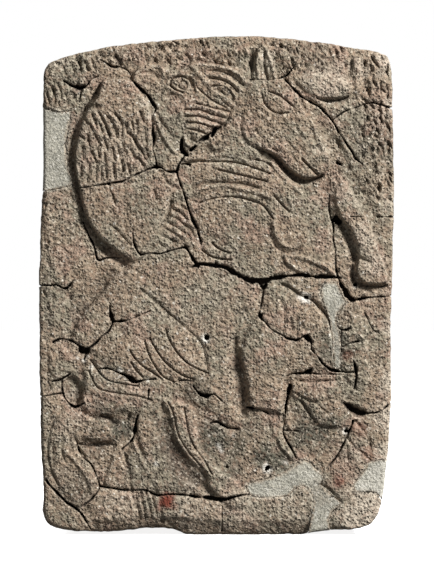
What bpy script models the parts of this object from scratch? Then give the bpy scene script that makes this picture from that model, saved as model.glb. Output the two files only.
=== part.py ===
# Orthostat relief: a basalt slab carved with a lion attacking a bull, with its gaps filled in lime mortar
#
# The slab stands upright on its foot, carved face towards -Y. The carving is laid out on a drawing grid
# of 356 by 499 steps, with y counted downwards, and on_slab() turns a place on that grid into metres,
# so the figures keep their pose as shares of the slab's own width and height.
import math
import random
from collections import namedtuple

import bmesh
import bpy
import numpy as np
from mathutils import Vector, geometry

# Driving dimensions, in metres
SLAB_HEIGHT = 0.700
SLAB_WIDTH = 0.498
SLAB_THICKNESS = 0.200
RELIEF_RISE = 0.015
ARRIS_ROUND = 0.008
CRACK_DEPTH = 0.012
GROOVE_DEPTH = 0.0035
MORTAR_DEPTH = 0.045
MORTAR_GAP = 0.0003

# How closely the faces follow the carving, in grid steps: along the outline, forms, cut lines and the plain
# field, how near two points merge, how far the field's points stray and how far carving keeps from the edge
OUTLINE_STEP = 11.0
FORM_STEP = 8.0
LINE_STEP = 9.0
FIELD_STEP = 15.0
MERGE_STEP = 0.45
FIELD_JITTER = 2.5
FIELD_SEED = 12
EDGE_MARGIN = 4.0
ARRIS_FACES = 2
SWELL_REACH = 4

# Colours of the two materials, linear RGB
BASALT_COLOUR = (0.228, 0.184, 0.140)
MORTAR_COLOUR = (0.400, 0.380, 0.322)

# The slab's outline on the drawing grid, clockwise from the lower left; the foot is the level stretch
FOOT_LEFT, FOOT_RIGHT, FOOT_LINE = 186, 300, 535
SLAB_OUTLINE = [
    (110, 532), (70, 530), (52, 526), (43, 512), (43, 480), (41, 440), (40, 380), (39, 300), (40, 240),
    (43, 180), (43, 110), (44, 76), (50, 63), (70, 55), (110, 47), (170, 40), (250, 36), (310, 41),
    (360, 49), (381, 53), (390, 63), (393, 110), (394, 200), (393, 250), (391, 320), (391, 400),
    (388, 450), (383, 495), (375, 519), (360, 528), (330, 530), (FOOT_RIGHT + 12, 532.5),
    (FOOT_RIGHT, FOOT_LINE), (FOOT_RIGHT - 12, FOOT_LINE), (FOOT_LEFT + 12, FOOT_LINE),
    (FOOT_LEFT, FOOT_LINE), (FOOT_LEFT - 14, 529.5), (150, 528),
]

# A raised form: its height as a share of the relief's, the width of its slope in grid steps, how much
# its middle swells as a share of the relief's height, and its outline. Later forms cover earlier ones.
Form = namedtuple("Form", "level slope swell outline")

TRUNKS = Form(0.50, 7, 0.10, [
    (106, 258), (104, 282), (83, 310), (68, 340), (82, 366), (88, 402), (150, 408), (185, 402), (238, 428),
    (240, 412), (231, 370), (234, 348), (250, 340), (262, 380), (270, 416), (283, 412), (288, 384),
    (330, 385), (345, 401), (366, 396), (371, 362), (364, 312), (345, 292), (336, 270), (334, 213),
    (335, 185), (304, 193), (272, 163), (225, 152), (185, 150), (130, 190),
])
HAUNCH = Form(0.68, 5, 0.16, [
    (138, 288), (160, 304), (180, 322), (201, 341), (207, 371), (190, 381), (140, 378), (100, 369),
    (89, 350), (100, 334), (113, 320), (122, 300),
])
BULL_FLANK = Form(0.74, 6, 0.16, [
    (262, 284), (283, 285), (300, 296), (320, 309), (332, 328), (337, 366), (300, 373), (287, 378),
    (284, 413), (266, 412), (249, 408), (247, 385), (242, 352), (252, 325), (262, 305),
])
TAIL = Form(0.66, 4, 0.08, [
    (338, 314), (347, 304), (357, 301), (365, 322), (367, 355), (371, 374), (366, 390), (353, 388),
    (342, 370), (339, 340),
])
BULL_THIGH = Form(0.62, 5, 0.10, [
    (294, 381), (332, 383), (346, 396), (350, 418), (338, 428), (316, 425), (300, 404), (290, 395),
])
BULL_SHIN = Form(0.50, 4, 0.0, [(268, 416), (282, 413), (283, 438), (296, 458), (284, 452), (272, 434)])
BULL_HOOF = Form(0.58, 4, 0.08, [
    (353, 424), (364, 426), (371, 446), (367, 468), (356, 480), (353, 494), (342, 501), (331, 490),
    (320, 480), (332, 463), (344, 443),
])
LEFT_BLOCK = Form(0.42, 4, 0.08, [(50, 350), (63, 343), (78, 350), (81, 362), (72, 373), (56, 380), (48, 368)])
BASE_BAND = Form(0.36, 4, 0.0, [
    (100, 490), (140, 492), (200, 498), (232, 501), (258, 497), (300, 488), (312, 500), (308, 521),
    (230, 523), (160, 519), (96, 522), (88, 506),
])
HIND_LEG = Form(0.80, 4, 0.10, [
    (84, 366), (94, 365), (103, 376), (130, 386), (165, 394), (184, 405), (196, 424), (203, 450),
    (225, 468), (248, 489), (250, 503), (236, 511), (222, 500), (205, 489), (203, 474), (186, 460),
    (173, 440), (168, 420), (158, 407), (120, 404), (90, 402), (82, 385),
])
NEAR_LEG = Form(0.70, 4, 0.10, [
    (51, 430), (57, 411), (80, 411), (97, 419), (110, 425), (116, 437), (103, 443), (85, 440), (78, 446),
    (90, 462), (100, 486), (91, 501), (79, 508), (60, 490), (48, 462),
])
SHORT_RIDGE = Form(0.46, 4, 0.0, [(134, 440), (146, 462), (162, 490), (132, 490), (126, 462)])
SHORT_WEDGE = Form(0.38, 3, 0.0, [(115, 453), (123, 460), (128, 486), (104, 486), (108, 468)])
UPRIGHT_BLOCK = Form(0.40, 4, 0.0, [(140, 414), (158, 411), (161, 440), (154, 468), (142, 452), (136, 432)])
NECK = Form(0.58, 5, 0.14, [
    (184, 157), (222, 152), (250, 159), (272, 163), (290, 181), (304, 193), (304, 236), (290, 252),
    (250, 256), (212, 246), (198, 225), (190, 196), (179, 172),
])
RAISED_LEG = Form(0.92, 4, 0.08, [
    (336, 186), (345, 182), (356, 198), (370, 222), (376, 240), (386, 268), (387, 283), (366, 285),
    (356, 274), (356, 262), (361, 250), (352, 230), (338, 216), (334, 200),
])
MANE = Form(0.88, 4, 0.12, [
    (131, 80), (107, 79), (90, 105), (76, 135), (74, 170), (86, 204), (105, 242), (132, 262), (150, 250),
    (164, 222), (170, 200), (176, 172), (158, 168), (156, 130), (148, 100),
])
LION_HEAD = Form(0.88, 4, 0.10, [
    (134, 78), (143, 66), (158, 64), (176, 70), (191, 64), (214, 64), (238, 72), (247, 84), (238, 103),
    (230, 120), (212, 131), (197, 150), (184, 153), (172, 152), (158, 148), (154, 120), (146, 96),
])
BULL_EAR = Form(0.72, 3, 0.0, [(253, 79), (255, 56), (263, 43), (272, 57), (278, 80), (266, 84)])
BULL_HORN = Form(0.62, 3, 0.10, [(295, 80), (303, 73), (328, 73), (350, 82), (353, 92), (340, 100), (313, 98)])
BULL_HEAD = Form(0.96, 4, 0.16, [
    (251, 80), (247, 103), (241, 128), (250, 147), (274, 155), (287, 170), (308, 180), (326, 171),
    (330, 158), (318, 132), (300, 103), (294, 86), (276, 78),
])
FORMS = [
    TRUNKS, HAUNCH, BULL_FLANK, TAIL, BULL_THIGH, BULL_SHIN, BULL_HOOF, LEFT_BLOCK, BASE_BAND, HIND_LEG,
    NEAR_LEG, SHORT_RIDGE, SHORT_WEDGE, UPRIGHT_BLOCK, NECK, RAISED_LEG, MANE, LION_HEAD, BULL_EAR,
    BULL_HORN, BULL_HEAD,
]

# A cut line: its depth as a share of a groove's, a crack's or the relief's, half its width and its route
Line = namedtuple("Line", "depth half_width route")

EYES = [
    Line(1.0, 2.2, [(170, 86), (173, 80), (182, 78), (190, 88), (184, 93), (174, 91)]),
    Line(1.0, 2.2, [(262, 96), (270, 110), (284, 114), (290, 106), (278, 98)]),
]
MUZZLES = [
    Line(1.0, 2.4, [(200, 62), (222, 64), (240, 73)]),
    Line(1.0, 2.0, [(305, 162), (317, 175)]),
    Line(1.0, 2.2, [(192, 70), (204, 86), (230, 106)]),
    Line(1.2, 2.6, [(160, 118), (168, 138), (178, 152)]),
]
BULL_BACK = [Line(1.1, 3.0, [(284, 285), (302, 295), (318, 306), (331, 327)])]
HOOK_ROLL = [Line(0.9, 2.2, [(270, 226), (274, 243), (287, 252), (300, 243)])]

# Families of like lines: depth share, half width, count, and the first and last line's routes
Family = namedtuple("Family", "depth half_width count first last")

NECK_FOLDS = Family(0.8, 2.2, 4, [(188, 164), (222, 162), (268, 172)], [(198, 202), (232, 197), (271, 216)])
MOUTH_FOLDS = Family(0.7, 1.8, 4, [(192, 106), (226, 117)], [(190, 126), (212, 131)])
SNOUT_FOLDS = Family(0.7, 1.8, 3, [(212, 72), (232, 74), (244, 86)], [(208, 86), (226, 92), (236, 100)])
THIGH_FOLDS = Family(0.9, 2.2, 4, [(132, 352), (148, 368), (172, 380)], [(167, 332), (180, 356), (205, 373)])
LEG_FOLDS = Family(0.9, 2.0, 2, [(110, 393), (158, 400), (176, 424), (200, 466)],
                   [(112, 386), (168, 398), (187, 424), (208, 462)])
FOOT_FOLDS = Family(0.7, 1.8, 4, [(134, 494), (138, 516)], [(154, 494), (159, 516)])
FAMILIES = [NECK_FOLDS, MOUTH_FOLDS, SNOUT_FOLDS, THIGH_FOLDS, LEG_FOLDS, FOOT_FOLDS]

# The mane's locks: slanting cuts in rows, which lean less the lower they are
LOCKS_TOP, LOCKS_BOTTOM, LOCK_ROW, LOCK_LENGTH = 112, 176, 15, 12
LOCKS_LEFT, LOCKS_RIGHT, LOCK_PITCH = 84, 148, 11
LOCK_LEAN_TOP, LOCK_LEAN_BOTTOM = 0.45, -0.05

CRACKS = [
    Line(1.0, 2.6, [(134, 83), (148, 95), (156, 110)]),
    Line(0.7, 1.8, [(153, 122), (153, 150), (158, 167), (178, 170)]),
    Line(0.8, 2.0, [(179, 176), (188, 206), (197, 230), (200, 243)]),
    Line(0.7, 1.8, [(170, 250), (186, 248), (198, 264)]),
    Line(1.1, 3.2, [(198, 266), (230, 271), (246, 279), (264, 281), (290, 276), (332, 277)]),
    Line(1.0, 3.4, [(337, 272), (343, 289), (353, 299)]),
    Line(0.9, 2.4, [(178, 150), (186, 152), (196, 147), (205, 138), (217, 130)]),
    Line(0.8, 2.0, [(290, 87), (306, 100), (332, 121), (354, 154)]),
    Line(0.9, 2.2, [(112, 372), (128, 376), (137, 382)]),
    Line(0.8, 2.4, [(195, 387), (201, 394), (214, 394)]),
    Line(0.9, 2.2, [(90, 348), (100, 338), (113, 322), (110, 312)]),
    Line(1.0, 2.6, [(50, 485), (64, 499), (79, 510)]),
    Line(1.0, 2.6, [(160, 496), (190, 494), (206, 498), (230, 498)]),
    Line(0.8, 2.2, [(283, 414), (284, 434), (295, 456)]),
    Line(0.8, 2.2, [(285, 338), (299, 338), (310, 343), (323, 363), (332, 370)]),
    Line(0.8, 2.0, [(353, 360), (356, 374), (354, 388)]),
    Line(0.9, 2.2, [(353, 421), (346, 436), (340, 450)]),
    Line(0.7, 2.0, [(136, 418), (136, 428), (129, 447)]),
]

# Open holes where stone is lost, as short wide cuts, and the deep ground between the two bodies
HOLES = [
    Line(1.3, 4.5, [(85, 351), (87, 354)]),
    Line(1.3, 4.5, [(348, 407), (358, 412)]),
    Line(1.1, 3.6, [(289, 388), (287, 398)]),
    Line(0.9, 7.0, [(70, 384), (74, 398)]),
    Line(1.0, 4.0, [(336, 219), (340, 224)]),
]
DEEP_GROUND = [Line(0.5, 7.0, [(237, 350), (239, 375), (245, 410)])]

# The mortar fills' outlines; a point beyond the slab's own outline leaves the fill open to that side
MORTAR_FILLS = {
    "mortar_left_edge": [
        (28, 112), (62, 112), (71, 111), (68, 130), (66, 150), (68, 170), (72, 185), (28, 185),
    ],
    "mortar_lower_band": [
        (246, 485), (262, 480), (280, 474), (304, 460), (314, 467), (324, 477), (320, 484), (334, 497),
        (342, 503), (332, 511), (328, 520), (332, 550), (308, 550), (311, 518), (314, 503), (309, 490),
        (302, 485), (295, 488), (290, 495), (270, 497), (252, 496),
    ],
    "mortar_right_edge": [
        (368, 462), (378, 460), (404, 460), (404, 501), (383, 501), (376, 492), (355, 492), (353, 485),
        (364, 470),
    ],
    "mortar_flank": [
        (325, 283), (336, 283), (341, 293), (346, 303), (337, 313), (337, 326), (340, 334), (340, 368),
        (335, 369), (332, 345), (329, 318), (320, 294),
    ],
    "mortar_thigh": [(100, 370), (112, 370), (122, 375), (129, 380), (120, 382), (108, 379)],
}


def smooth_line(points, step, closed=False):
    """A curve through the points, read off about every step."""
    points = np.array(points, float)
    ahead = np.roll(points, -1, 0)
    if closed:
        before, after = np.roll(points, 1, 0), np.roll(points, -2, 0)
        spans = len(points)
    else:
        before = np.vstack([points[:1], points[:-1]])
        after = np.vstack([points[2:], points[-1:], points[-1:]])
        spans = len(points) - 1
    line = []
    for k in range(spans):
        a, b, c, d = before[k], points[k], ahead[k], after[k]
        pieces = max(1, round(np.linalg.norm(c - b) / step))
        for share in np.arange(pieces) / pieces:
            line.append(0.5 * (2 * b + (c - a) * share + (2 * a - 5 * b + 4 * c - d) * share ** 2
                               + (3 * b - a - 3 * c + d) * share ** 3))
    if not closed:
        line.append(points[-1])
    return np.array(line)


def offset_line(line, distance, closed=False):
    """The line moved sideways, to its right as it runs down the grid."""
    if closed:
        run = np.roll(line, -1, 0) - np.roll(line, 1, 0)
    else:
        run = np.gradient(line, axis=0)
    run /= np.maximum(np.linalg.norm(run, axis=1), 1e-9)[:, None]
    return line + distance * np.column_stack([-run[:, 1], run[:, 0]])


def turns_clockwise(loop):
    """Whether the loop's inside is on its right, with y counted downwards."""
    x, y = loop[:, 0], loop[:, 1]
    return (x * np.roll(y, -1) - np.roll(x, -1) * y).sum() > 0


def inset_loop(loop, distance):
    """A closed loop drawn in by a distance, or out where it is negative."""
    return offset_line(loop, distance if turns_clockwise(loop) else -distance, closed=True)


def distance_to(points, line):
    """Each point's distance to a line of joined segments."""
    start, run = line[:-1], line[1:] - line[:-1]
    away = points[:, None, :] - start[None]
    share = np.clip((away * run).sum(2) / np.maximum((run * run).sum(1), 1e-9), 0, 1)
    return np.linalg.norm(away - share[..., None] * run, axis=2).min(1)


def is_inside(points, loop):
    """Whether each point is inside a closed loop, by the even-odd rule."""
    x, y = points[:, :1], points[:, 1:]
    x0, y0 = loop[:, 0], loop[:, 1]
    x1, y1 = np.roll(x0, -1), np.roll(y0, -1)
    level = y1 == y0
    crossing = x0 + (y - y0) * (x1 - x0) / np.where(level, 1, y1 - y0)
    return (((y0 > y) != (y1 > y)) & (x < crossing)).sum(1) % 2 == 1


def depth_inside(points, loop):
    """Distance from the loop, counted positive inside it."""
    distance = distance_to(points, np.vstack([loop, loop[:1]]))
    return np.where(is_inside(points, loop), distance, -distance)


def ease(share):
    """A slope from 0 to 1 that starts and ends level."""
    share = np.clip(share, 0, 1)
    return share * share * (3 - 2 * share)


def blend_family(family):
    """The family's lines, spread evenly between its first and its last."""
    first, last = np.array(family.first, float), np.array(family.last, float)
    shares = np.linspace(0, 1, family.count)
    return [Line(family.depth, family.half_width, first + (last - first) * share) for share in shares]


def mane_locks():
    """Short slanting cuts in staggered rows inside the mane."""
    mane = np.array(MANE.outline, float)
    locks = []
    for row, top in enumerate(np.arange(LOCKS_TOP, LOCKS_BOTTOM, LOCK_ROW)):
        fall = (top - LOCKS_TOP) / (LOCKS_BOTTOM - LOCKS_TOP)
        lean = LOCK_LEAN_TOP + (LOCK_LEAN_BOTTOM - LOCK_LEAN_TOP) * fall
        for left in np.arange(LOCKS_LEFT + LOCK_PITCH / 2 * (row % 2), LOCKS_RIGHT, LOCK_PITCH):
            ends = np.array([(left, top), (left + lean * LOCK_LENGTH, top + LOCK_LENGTH)])
            if depth_inside(ends, mane).min() > MANE.slope:
                locks.append(Line(0.7, 2.0, ends))
    return locks


outline = smooth_line(SLAB_OUTLINE, OUTLINE_STEP, closed=True)
outline[:, 1] = np.minimum(outline[:, 1], FOOT_LINE)
grid_left, grid_top = outline.min(0)
grid_right = outline[:, 0].max()
STEP_X = SLAB_WIDTH / (grid_right - grid_left)
STEP_Z = SLAB_HEIGHT / (FOOT_LINE - grid_top)
GRID_MIDDLE = (grid_left + grid_right) / 2
arris_loop = inset_loop(outline, ARRIS_ROUND / STEP_X)
FRONT_GROUND = -SLAB_THICKNESS / 2 + RELIEF_RISE
BACK_FACE = SLAB_THICKNESS / 2


def on_slab(x, y, depth):
    """A place on the drawing grid, at a depth along Y, in metres."""
    return Vector(((x - GRID_MIDDLE) * STEP_X, depth, (FOOT_LINE - y) * STEP_Z))


def carved_lines():
    """Every cut line with its full depth in metres."""
    grooves = EYES + MUZZLES + BULL_BACK + HOOK_ROLL + mane_locks()
    for family in FAMILIES:
        grooves += blend_family(family)
    lines = [(line, line.depth * GROOVE_DEPTH) for line in grooves]
    lines += [(line, line.depth * CRACK_DEPTH) for line in CRACKS + HOLES]
    return lines + [(line, line.depth * RELIEF_RISE) for line in DEEP_GROUND]


def relief_height(points, loops, lines):
    """How far the carving stands out from the ground at each place on the grid, in metres."""
    height = np.zeros(len(points))
    for form, loop in zip(FORMS, loops):
        inside = depth_inside(points, loop)
        swell = form.swell * ease(inside / (SWELL_REACH * form.slope))
        top = RELIEF_RISE * np.minimum(form.level + swell, 1)
        cover = ease(inside / form.slope)
        height += (top - height) * cover
    for (line, depth), route in lines:
        across = distance_to(points, route) / line.half_width
        height -= depth * np.clip(1 - across ** 2, 0, 1)
    return height * ease(depth_inside(points, arris_loop) / EDGE_MARGIN)


def field_points():
    """A loose lattice of points that carries the surface between the carved lines."""
    scatter = random.Random(FIELD_SEED)
    points = []
    for x in np.arange(grid_left, grid_right, FIELD_STEP):
        for y in np.arange(grid_top, FOOT_LINE, FIELD_STEP):
            points.append((x + scatter.uniform(-1, 1) * FIELD_JITTER, y + scatter.uniform(-1, 1) * FIELD_JITTER))
    points = np.array(points)
    return points[depth_inside(points, arris_loop) > EDGE_MARGIN]


def face_net():
    """Points and joined pairs of points that the carved face's triangles keep to."""
    points = [tuple(p) for p in arris_loop]
    pairs = []

    def add_line(line, closed=False):
        kept = depth_inside(line, arris_loop) > EDGE_MARGIN / 2
        first = len(points)
        points.extend(tuple(p) for p in line)
        count = len(line)
        for k in range(count if closed else count - 1):
            following = (k + 1) % count
            if kept[k] and kept[following]:
                pairs.append((first + k, first + following))

    loops = [smooth_line(form.outline, FORM_STEP, closed=True) for form in FORMS]
    for form, loop in zip(FORMS, loops):
        add_line(loop, closed=True)
        add_line(inset_loop(loop, form.slope), closed=True)
    lines = [(cut, smooth_line(cut[0].route, LINE_STEP)) for cut in carved_lines()]
    for (line, _), route in lines:
        add_line(route)
        for side in (-1, 1):
            add_line(offset_line(route, side * line.half_width))
    points.extend(tuple(p) for p in field_points())
    return points, pairs, loops, lines


def side_rings():
    """The loops that the slab's edge runs through, from the front arris to the back one, with their depths."""
    front, back = [], []
    for turn in np.linspace(0, math.pi / 2, ARRIS_FACES + 1):
        drawn_in = inset_loop(outline, ARRIS_ROUND * (1 - math.sin(turn)) / STEP_X)
        drop = ARRIS_ROUND * (1 - math.cos(turn))
        front.append((drawn_in, FRONT_GROUND + drop))
        back.append((drawn_in, BACK_FACE - drop))
    return front[1:] + back[::-1]


def slab_mesh():
    """The whole stone: the carved face, rounded arrises, straight sides and a flat back."""
    points, pairs, loops, lines = face_net()
    border = len(arris_loop)
    keep = depth_inside(np.array(points), arris_loop) > EDGE_MARGIN / 2
    keep[:border] = True
    number = np.cumsum(keep) - 1
    kept_points = [Vector(p) for p, kept in zip(points, keep) if kept]
    kept_pairs = [(int(number[a]), int(number[b])) for a, b in pairs if keep[a] and keep[b]]
    net, _, faces, sources, _, _ = geometry.delaunay_2d_cdt(
        kept_points, kept_pairs, [list(range(border))], 1, MERGE_STEP)
    height = relief_height(np.array([tuple(p) for p in net]), loops, lines)
    bm = bmesh.new()
    verts = [bm.verts.new(on_slab(p.x, p.y, FRONT_GROUND - h)) for p, h in zip(net, height)]
    for face in faces:
        bm.faces.new([verts[k] for k in face])
    rim = {}
    for vert, source in zip(verts, sources):
        for k in source:
            if k < border:
                rim[k] = vert
    ring = [rim[k] for k in range(border)]
    for loop, depth in side_rings():
        following = [bm.verts.new(on_slab(x, y, depth)) for x, y in loop]
        for k in range(border):
            after = (k + 1) % border
            bm.faces.new([ring[k], ring[after], following[after], following[k]])
        ring = following
    bm.faces.new(ring)
    bmesh.ops.dissolve_degenerate(bm, dist=1e-5, edges=bm.edges)
    bmesh.ops.triangulate(bm, faces=bm.faces)
    bmesh.ops.recalc_face_normals(bm, faces=bm.faces)
    mesh = bpy.data.meshes.new("stone_slab")
    bm.to_mesh(mesh)
    bm.free()
    return mesh


def material(name, colour, roughness):
    made = bpy.data.materials.new(name)
    made.use_nodes = True
    shader = made.node_tree.nodes["Principled BSDF"]
    shader.inputs["Base Color"].default_value = (*colour, 1)
    shader.inputs["Roughness"].default_value = roughness
    shader.inputs["Metallic"].default_value = 0
    return made


def add_object(name, mesh, finish):
    made = bpy.data.objects.new(name, mesh)
    made.data.materials.clear()
    made.data.materials.append(finish)
    bpy.context.scene.collection.objects.link(made)
    return made


def prism(name, loop, front, back):
    """A straight block with the loop's outline, kept only as a cutter."""
    bm = bmesh.new()
    face = bm.faces.new([bm.verts.new(on_slab(x, y, front)) for x, y in loop])
    grown = bmesh.ops.extrude_face_region(bm, geom=[face])
    moved = [item for item in grown["geom"] if isinstance(item, bmesh.types.BMVert)]
    bmesh.ops.translate(bm, verts=moved, vec=(0, back - front, 0))
    bmesh.ops.recalc_face_normals(bm, faces=bm.faces)
    mesh = bpy.data.meshes.new(name)
    bm.to_mesh(mesh)
    bm.free()
    made = bpy.data.objects.new(name, mesh)
    bpy.context.scene.collection.objects.link(made)
    made.hide_render = True
    made.display_type = "WIRE"
    return made


def cut(target, operation, cutter):
    step = target.modifiers.new(operation.lower(), "BOOLEAN")
    step.operation = operation
    step.solver = "EXACT"
    step.object = cutter


def build():
    for item in list(bpy.data.objects):
        bpy.data.objects.remove(item)
    basalt = material("basalt", BASALT_COLOUR, 0.85)
    mortar = material("lime_mortar", MORTAR_COLOUR, 0.9)
    whole = slab_mesh()
    stone = add_object("stone_slab", whole, basalt)
    front = FRONT_GROUND - 2 * RELIEF_RISE
    back = FRONT_GROUND + MORTAR_DEPTH
    for name, route in MORTAR_FILLS.items():
        loop = smooth_line(route, FORM_STEP, closed=True)
        pocket_loop = inset_loop(loop, -MORTAR_GAP / STEP_X)
        pocket = prism(name + "_pocket", pocket_loop, front, back + MORTAR_GAP)
        cut(stone, "DIFFERENCE", pocket)
        body = prism(name + "_body", loop, front, back)
        fill = add_object(name, whole.copy(), mortar)
        cut(fill, "INTERSECT", body)


build()
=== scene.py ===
# Looks of the orthostat relief: the carved basalt slab, its lime mortar fills, and a studio stage
#
# The carving is laid out on a drawing grid of steps counted right and down from the picture's top left
# corner, 434 by 571 of them. Depths and heights are metres unless a name says millimetres or shares.
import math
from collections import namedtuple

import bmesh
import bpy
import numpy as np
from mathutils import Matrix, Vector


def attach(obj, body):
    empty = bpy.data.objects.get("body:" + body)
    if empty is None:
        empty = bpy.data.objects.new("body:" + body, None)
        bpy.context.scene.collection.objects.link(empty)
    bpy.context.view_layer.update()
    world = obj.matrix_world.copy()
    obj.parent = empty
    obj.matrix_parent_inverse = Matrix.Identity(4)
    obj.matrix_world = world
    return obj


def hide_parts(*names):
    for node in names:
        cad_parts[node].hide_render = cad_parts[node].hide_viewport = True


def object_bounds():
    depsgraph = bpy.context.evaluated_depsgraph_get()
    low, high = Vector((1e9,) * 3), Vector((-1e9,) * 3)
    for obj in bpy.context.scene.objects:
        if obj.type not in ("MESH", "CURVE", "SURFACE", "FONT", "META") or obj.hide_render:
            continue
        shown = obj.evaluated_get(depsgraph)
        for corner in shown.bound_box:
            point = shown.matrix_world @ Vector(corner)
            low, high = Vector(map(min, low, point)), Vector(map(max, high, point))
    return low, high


bl_info = {
    "name": "Orthostat relief",
    "version": (1, 0, 0),
    "blender": (4, 5, 0),
    "location": "3D View > Sidebar > Relief",
    "description": "A carved basalt slab with lime mortar fills, its floor, light and camera",
    "category": "Add Mesh",
}

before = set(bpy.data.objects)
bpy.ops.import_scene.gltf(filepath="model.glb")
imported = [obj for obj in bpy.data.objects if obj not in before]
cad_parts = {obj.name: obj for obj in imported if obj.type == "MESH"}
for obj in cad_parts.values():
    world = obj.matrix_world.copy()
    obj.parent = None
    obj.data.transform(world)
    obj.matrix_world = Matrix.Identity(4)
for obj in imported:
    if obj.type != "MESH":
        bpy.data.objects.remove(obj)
CAD_LOW, CAD_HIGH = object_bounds()

MM = 0.001

# The picture that the drawing grid and the camera follow, and the camera's lens and sensor in millimetres
PICTURE_WIDTH, PICTURE_HEIGHT = 434, 571
LENS, SENSOR = 200.0, 36.0

# The floor's half width and the lights. The key light's place is given by its turn from straight up towards
# the right, and by how far it stands out in front of the carved face, both in degrees.
FLOOR_HALF = 20.0
KEY_DISTANCE, KEY_SIZE, KEY_POWER = 8.0, 1.5, 1200.0
KEY_SIDE, KEY_HEIGHT = 48.0, 31.0
FILL_PLACE, FILL_SIZE, FILL_POWER = Vector((-1.2, -3.0, 0.4)), 1.6, 5.0
BACK_PLACE, BACK_SIZE, BACK_POWER = Vector((-2.6, 3.4, 2.0)), 2.0, 160.0
WORLD_STRENGTH = 0.145

# Cracks: the share of their stated width that is drawn, how ragged they are as a share of it, the half width
# at which they get their full depth and the width of their walls in grid steps, how far they stray on the
# sides, and the length from which they go through the slab
CRACK_WIDTH, CRACK_RAGGED, CRACK_FULL = 0.66, 0.7, 1.1
WALL_STEPS = 0.8
CRACK_WANDER = 2.5
THROUGH_LENGTH = 60.0

# How deep the stone has flaked off above the near leg, over how far the relief fades out on the slab's
# sides, and how wide the band behind the outline is that cracks and dressing may reach, in metres
SPALL_DEPTH = 0.006
FRONT_FADE = 0.030
RIM_BAND = 0.012

# Lumps of noise: their height, the size of one lump in metres, and the seed. Heights are metres for the
# stone's waves and for the fills, and shares for the others.
Lumps = namedtuple("Lumps", "height cell seed")
NOISE_CELLS = 48
PECKING_LUMPS = [Lumps(0.6, 0.0045, 31), Lumps(0.5, 0.009, 32)]
STONE_WAVES = [Lumps(0.0009, 0.026, 33)]
FILL_LUMPS = [Lumps(0.0003, 0.006, 34), Lumps(0.0007, 0.022, 35)]
DRESSING_MEAN = 0.5
DRESSING_LUMPS = [Lumps(0.3, 0.028, 41), Lumps(0.2, 0.011, 42)]
STAIN_LUMPS = [Lumps(0.45, 0.012, 51), Lumps(0.25, 0.005, 52)]
STRAY_ACROSS, STRAY_DOWN = [Lumps(1.0, 0.04, 21)], [Lumps(1.0, 0.04, 22)]
RAGGED_LUMPS = [Lumps(1.0, 0.007, 23)]

# Where the sides' dressing is full and where stains end behind the ground, how deep a crack or a moat is for
# its full painted shade, in metres, and how strongly bends in the surface count as hollow, which gets painted
# shade, or worn
SIDE_FADE, STAIN_REACH = 0.02, 0.02
CRACK_SHADE_FULL, MOAT_SHADE_FULL = 0.005, 0.006
BEND_GAIN = 3.0

# The basalt's pattern in metres: broad and rosy areas, blotches, lumps, mineral grains and pits. The real
# stone's grains are about 1 mm; they are drawn coarser, because finer ones don't show in the picture.
BROAD_AREA, ROSY_AREA, BLOTCH, LUMP, GRAIN, PIT = 0.055, 0.038, 0.010, 0.0060, 0.0026, 0.0040
# The mortar's pattern in metres: cloudy areas, sand and single specks, drawn coarser for the same reason
CLOUD, SAND_LUMP, SPECK = 0.03, 0.0030, 0.0026
BASALT_BUMP, MORTAR_BUMP = 0.0046, 0.0024
# A Mix node's sockets: its share, its two colours, and the colour that comes out
MIX_SHARE, MIX_FIRST, MIX_SECOND, MIX_RESULT = 0, 6, 7, 2

# The slab's outline on the drawing grid, clockwise from the lower left; the foot is the level stretch
FOOT_LEFT, FOOT_RIGHT, FOOT_LINE = 186, 300, 535
SLAB_OUTLINE = [
    (110, 532), (70, 530), (52, 526), (43, 512), (43, 480), (41, 440), (40, 380), (39, 300), (40, 240),
    (43, 180), (43, 110), (44, 76), (50, 63), (70, 55), (110, 47), (170, 40), (250, 36), (310, 41),
    (360, 49), (381, 53), (390, 63), (393, 110), (394, 200), (393, 250), (391, 320), (391, 400),
    (388, 450), (383, 495), (375, 519), (360, 528), (330, 530), (FOOT_RIGHT + 12, 532.5),
    (FOOT_RIGHT, FOOT_LINE), (FOOT_RIGHT - 12, FOOT_LINE), (FOOT_LEFT + 12, FOOT_LINE),
    (FOOT_LEFT, FOOT_LINE), (FOOT_LEFT - 14, 529.5), (150, 528),
]
OUTLINE_CORNERS = [(46, 66), (386, 56), (382, 508), (46, 520)]
OUTLINE_STEP = 11.0

# The block's mesh: cells of the front face, rings round its edge, and how near to a break, carving, a crack
# and the crispest lines they split again, in grid steps; distances are looked for up to the reach
COLUMNS, ROWS, RINGS = 58, 81, 26
ARRIS_SHARE = 4 / RINGS
SPLIT_BREAK, SPLIT_CARVED, SPLIT_CRACK, SPLIT_CRISP = 3.0, 1.6, 0.8, 0.1
GAP_REACH = 5.0
# The steps that curves are read off at, and how far to either side moats, carved lines and cracks can reach
FINE_STEP = 3.0
MOAT_REACH, LINE_REACH, CRACK_REACH = 12.0, 8.0, 6.0

# A raised form: its height as a share of the relief's, the width of its slope in grid steps, how much
# its middle swells as a share of the relief's height, and its outline. Later forms cover earlier ones.
Form = namedtuple("Form", "level slope swell outline")
# Cuts of one kind: their depth in millimetres, half their width in grid steps, and their routes. A point
# with a third number has a half width of its own. Ridges have a depth below zero.
Cuts = namedtuple("Cuts", "depth half_width routes")
# Short tool marks strewn over an area: depth, half width, length, how many, their turn in degrees from
# level, and the area's left, top, right and bottom
Pecks = namedtuple("Pecks", "depth half_width length count turn area")

GROUND_LEVEL = 0.36
SWELL_REACH = 4

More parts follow.
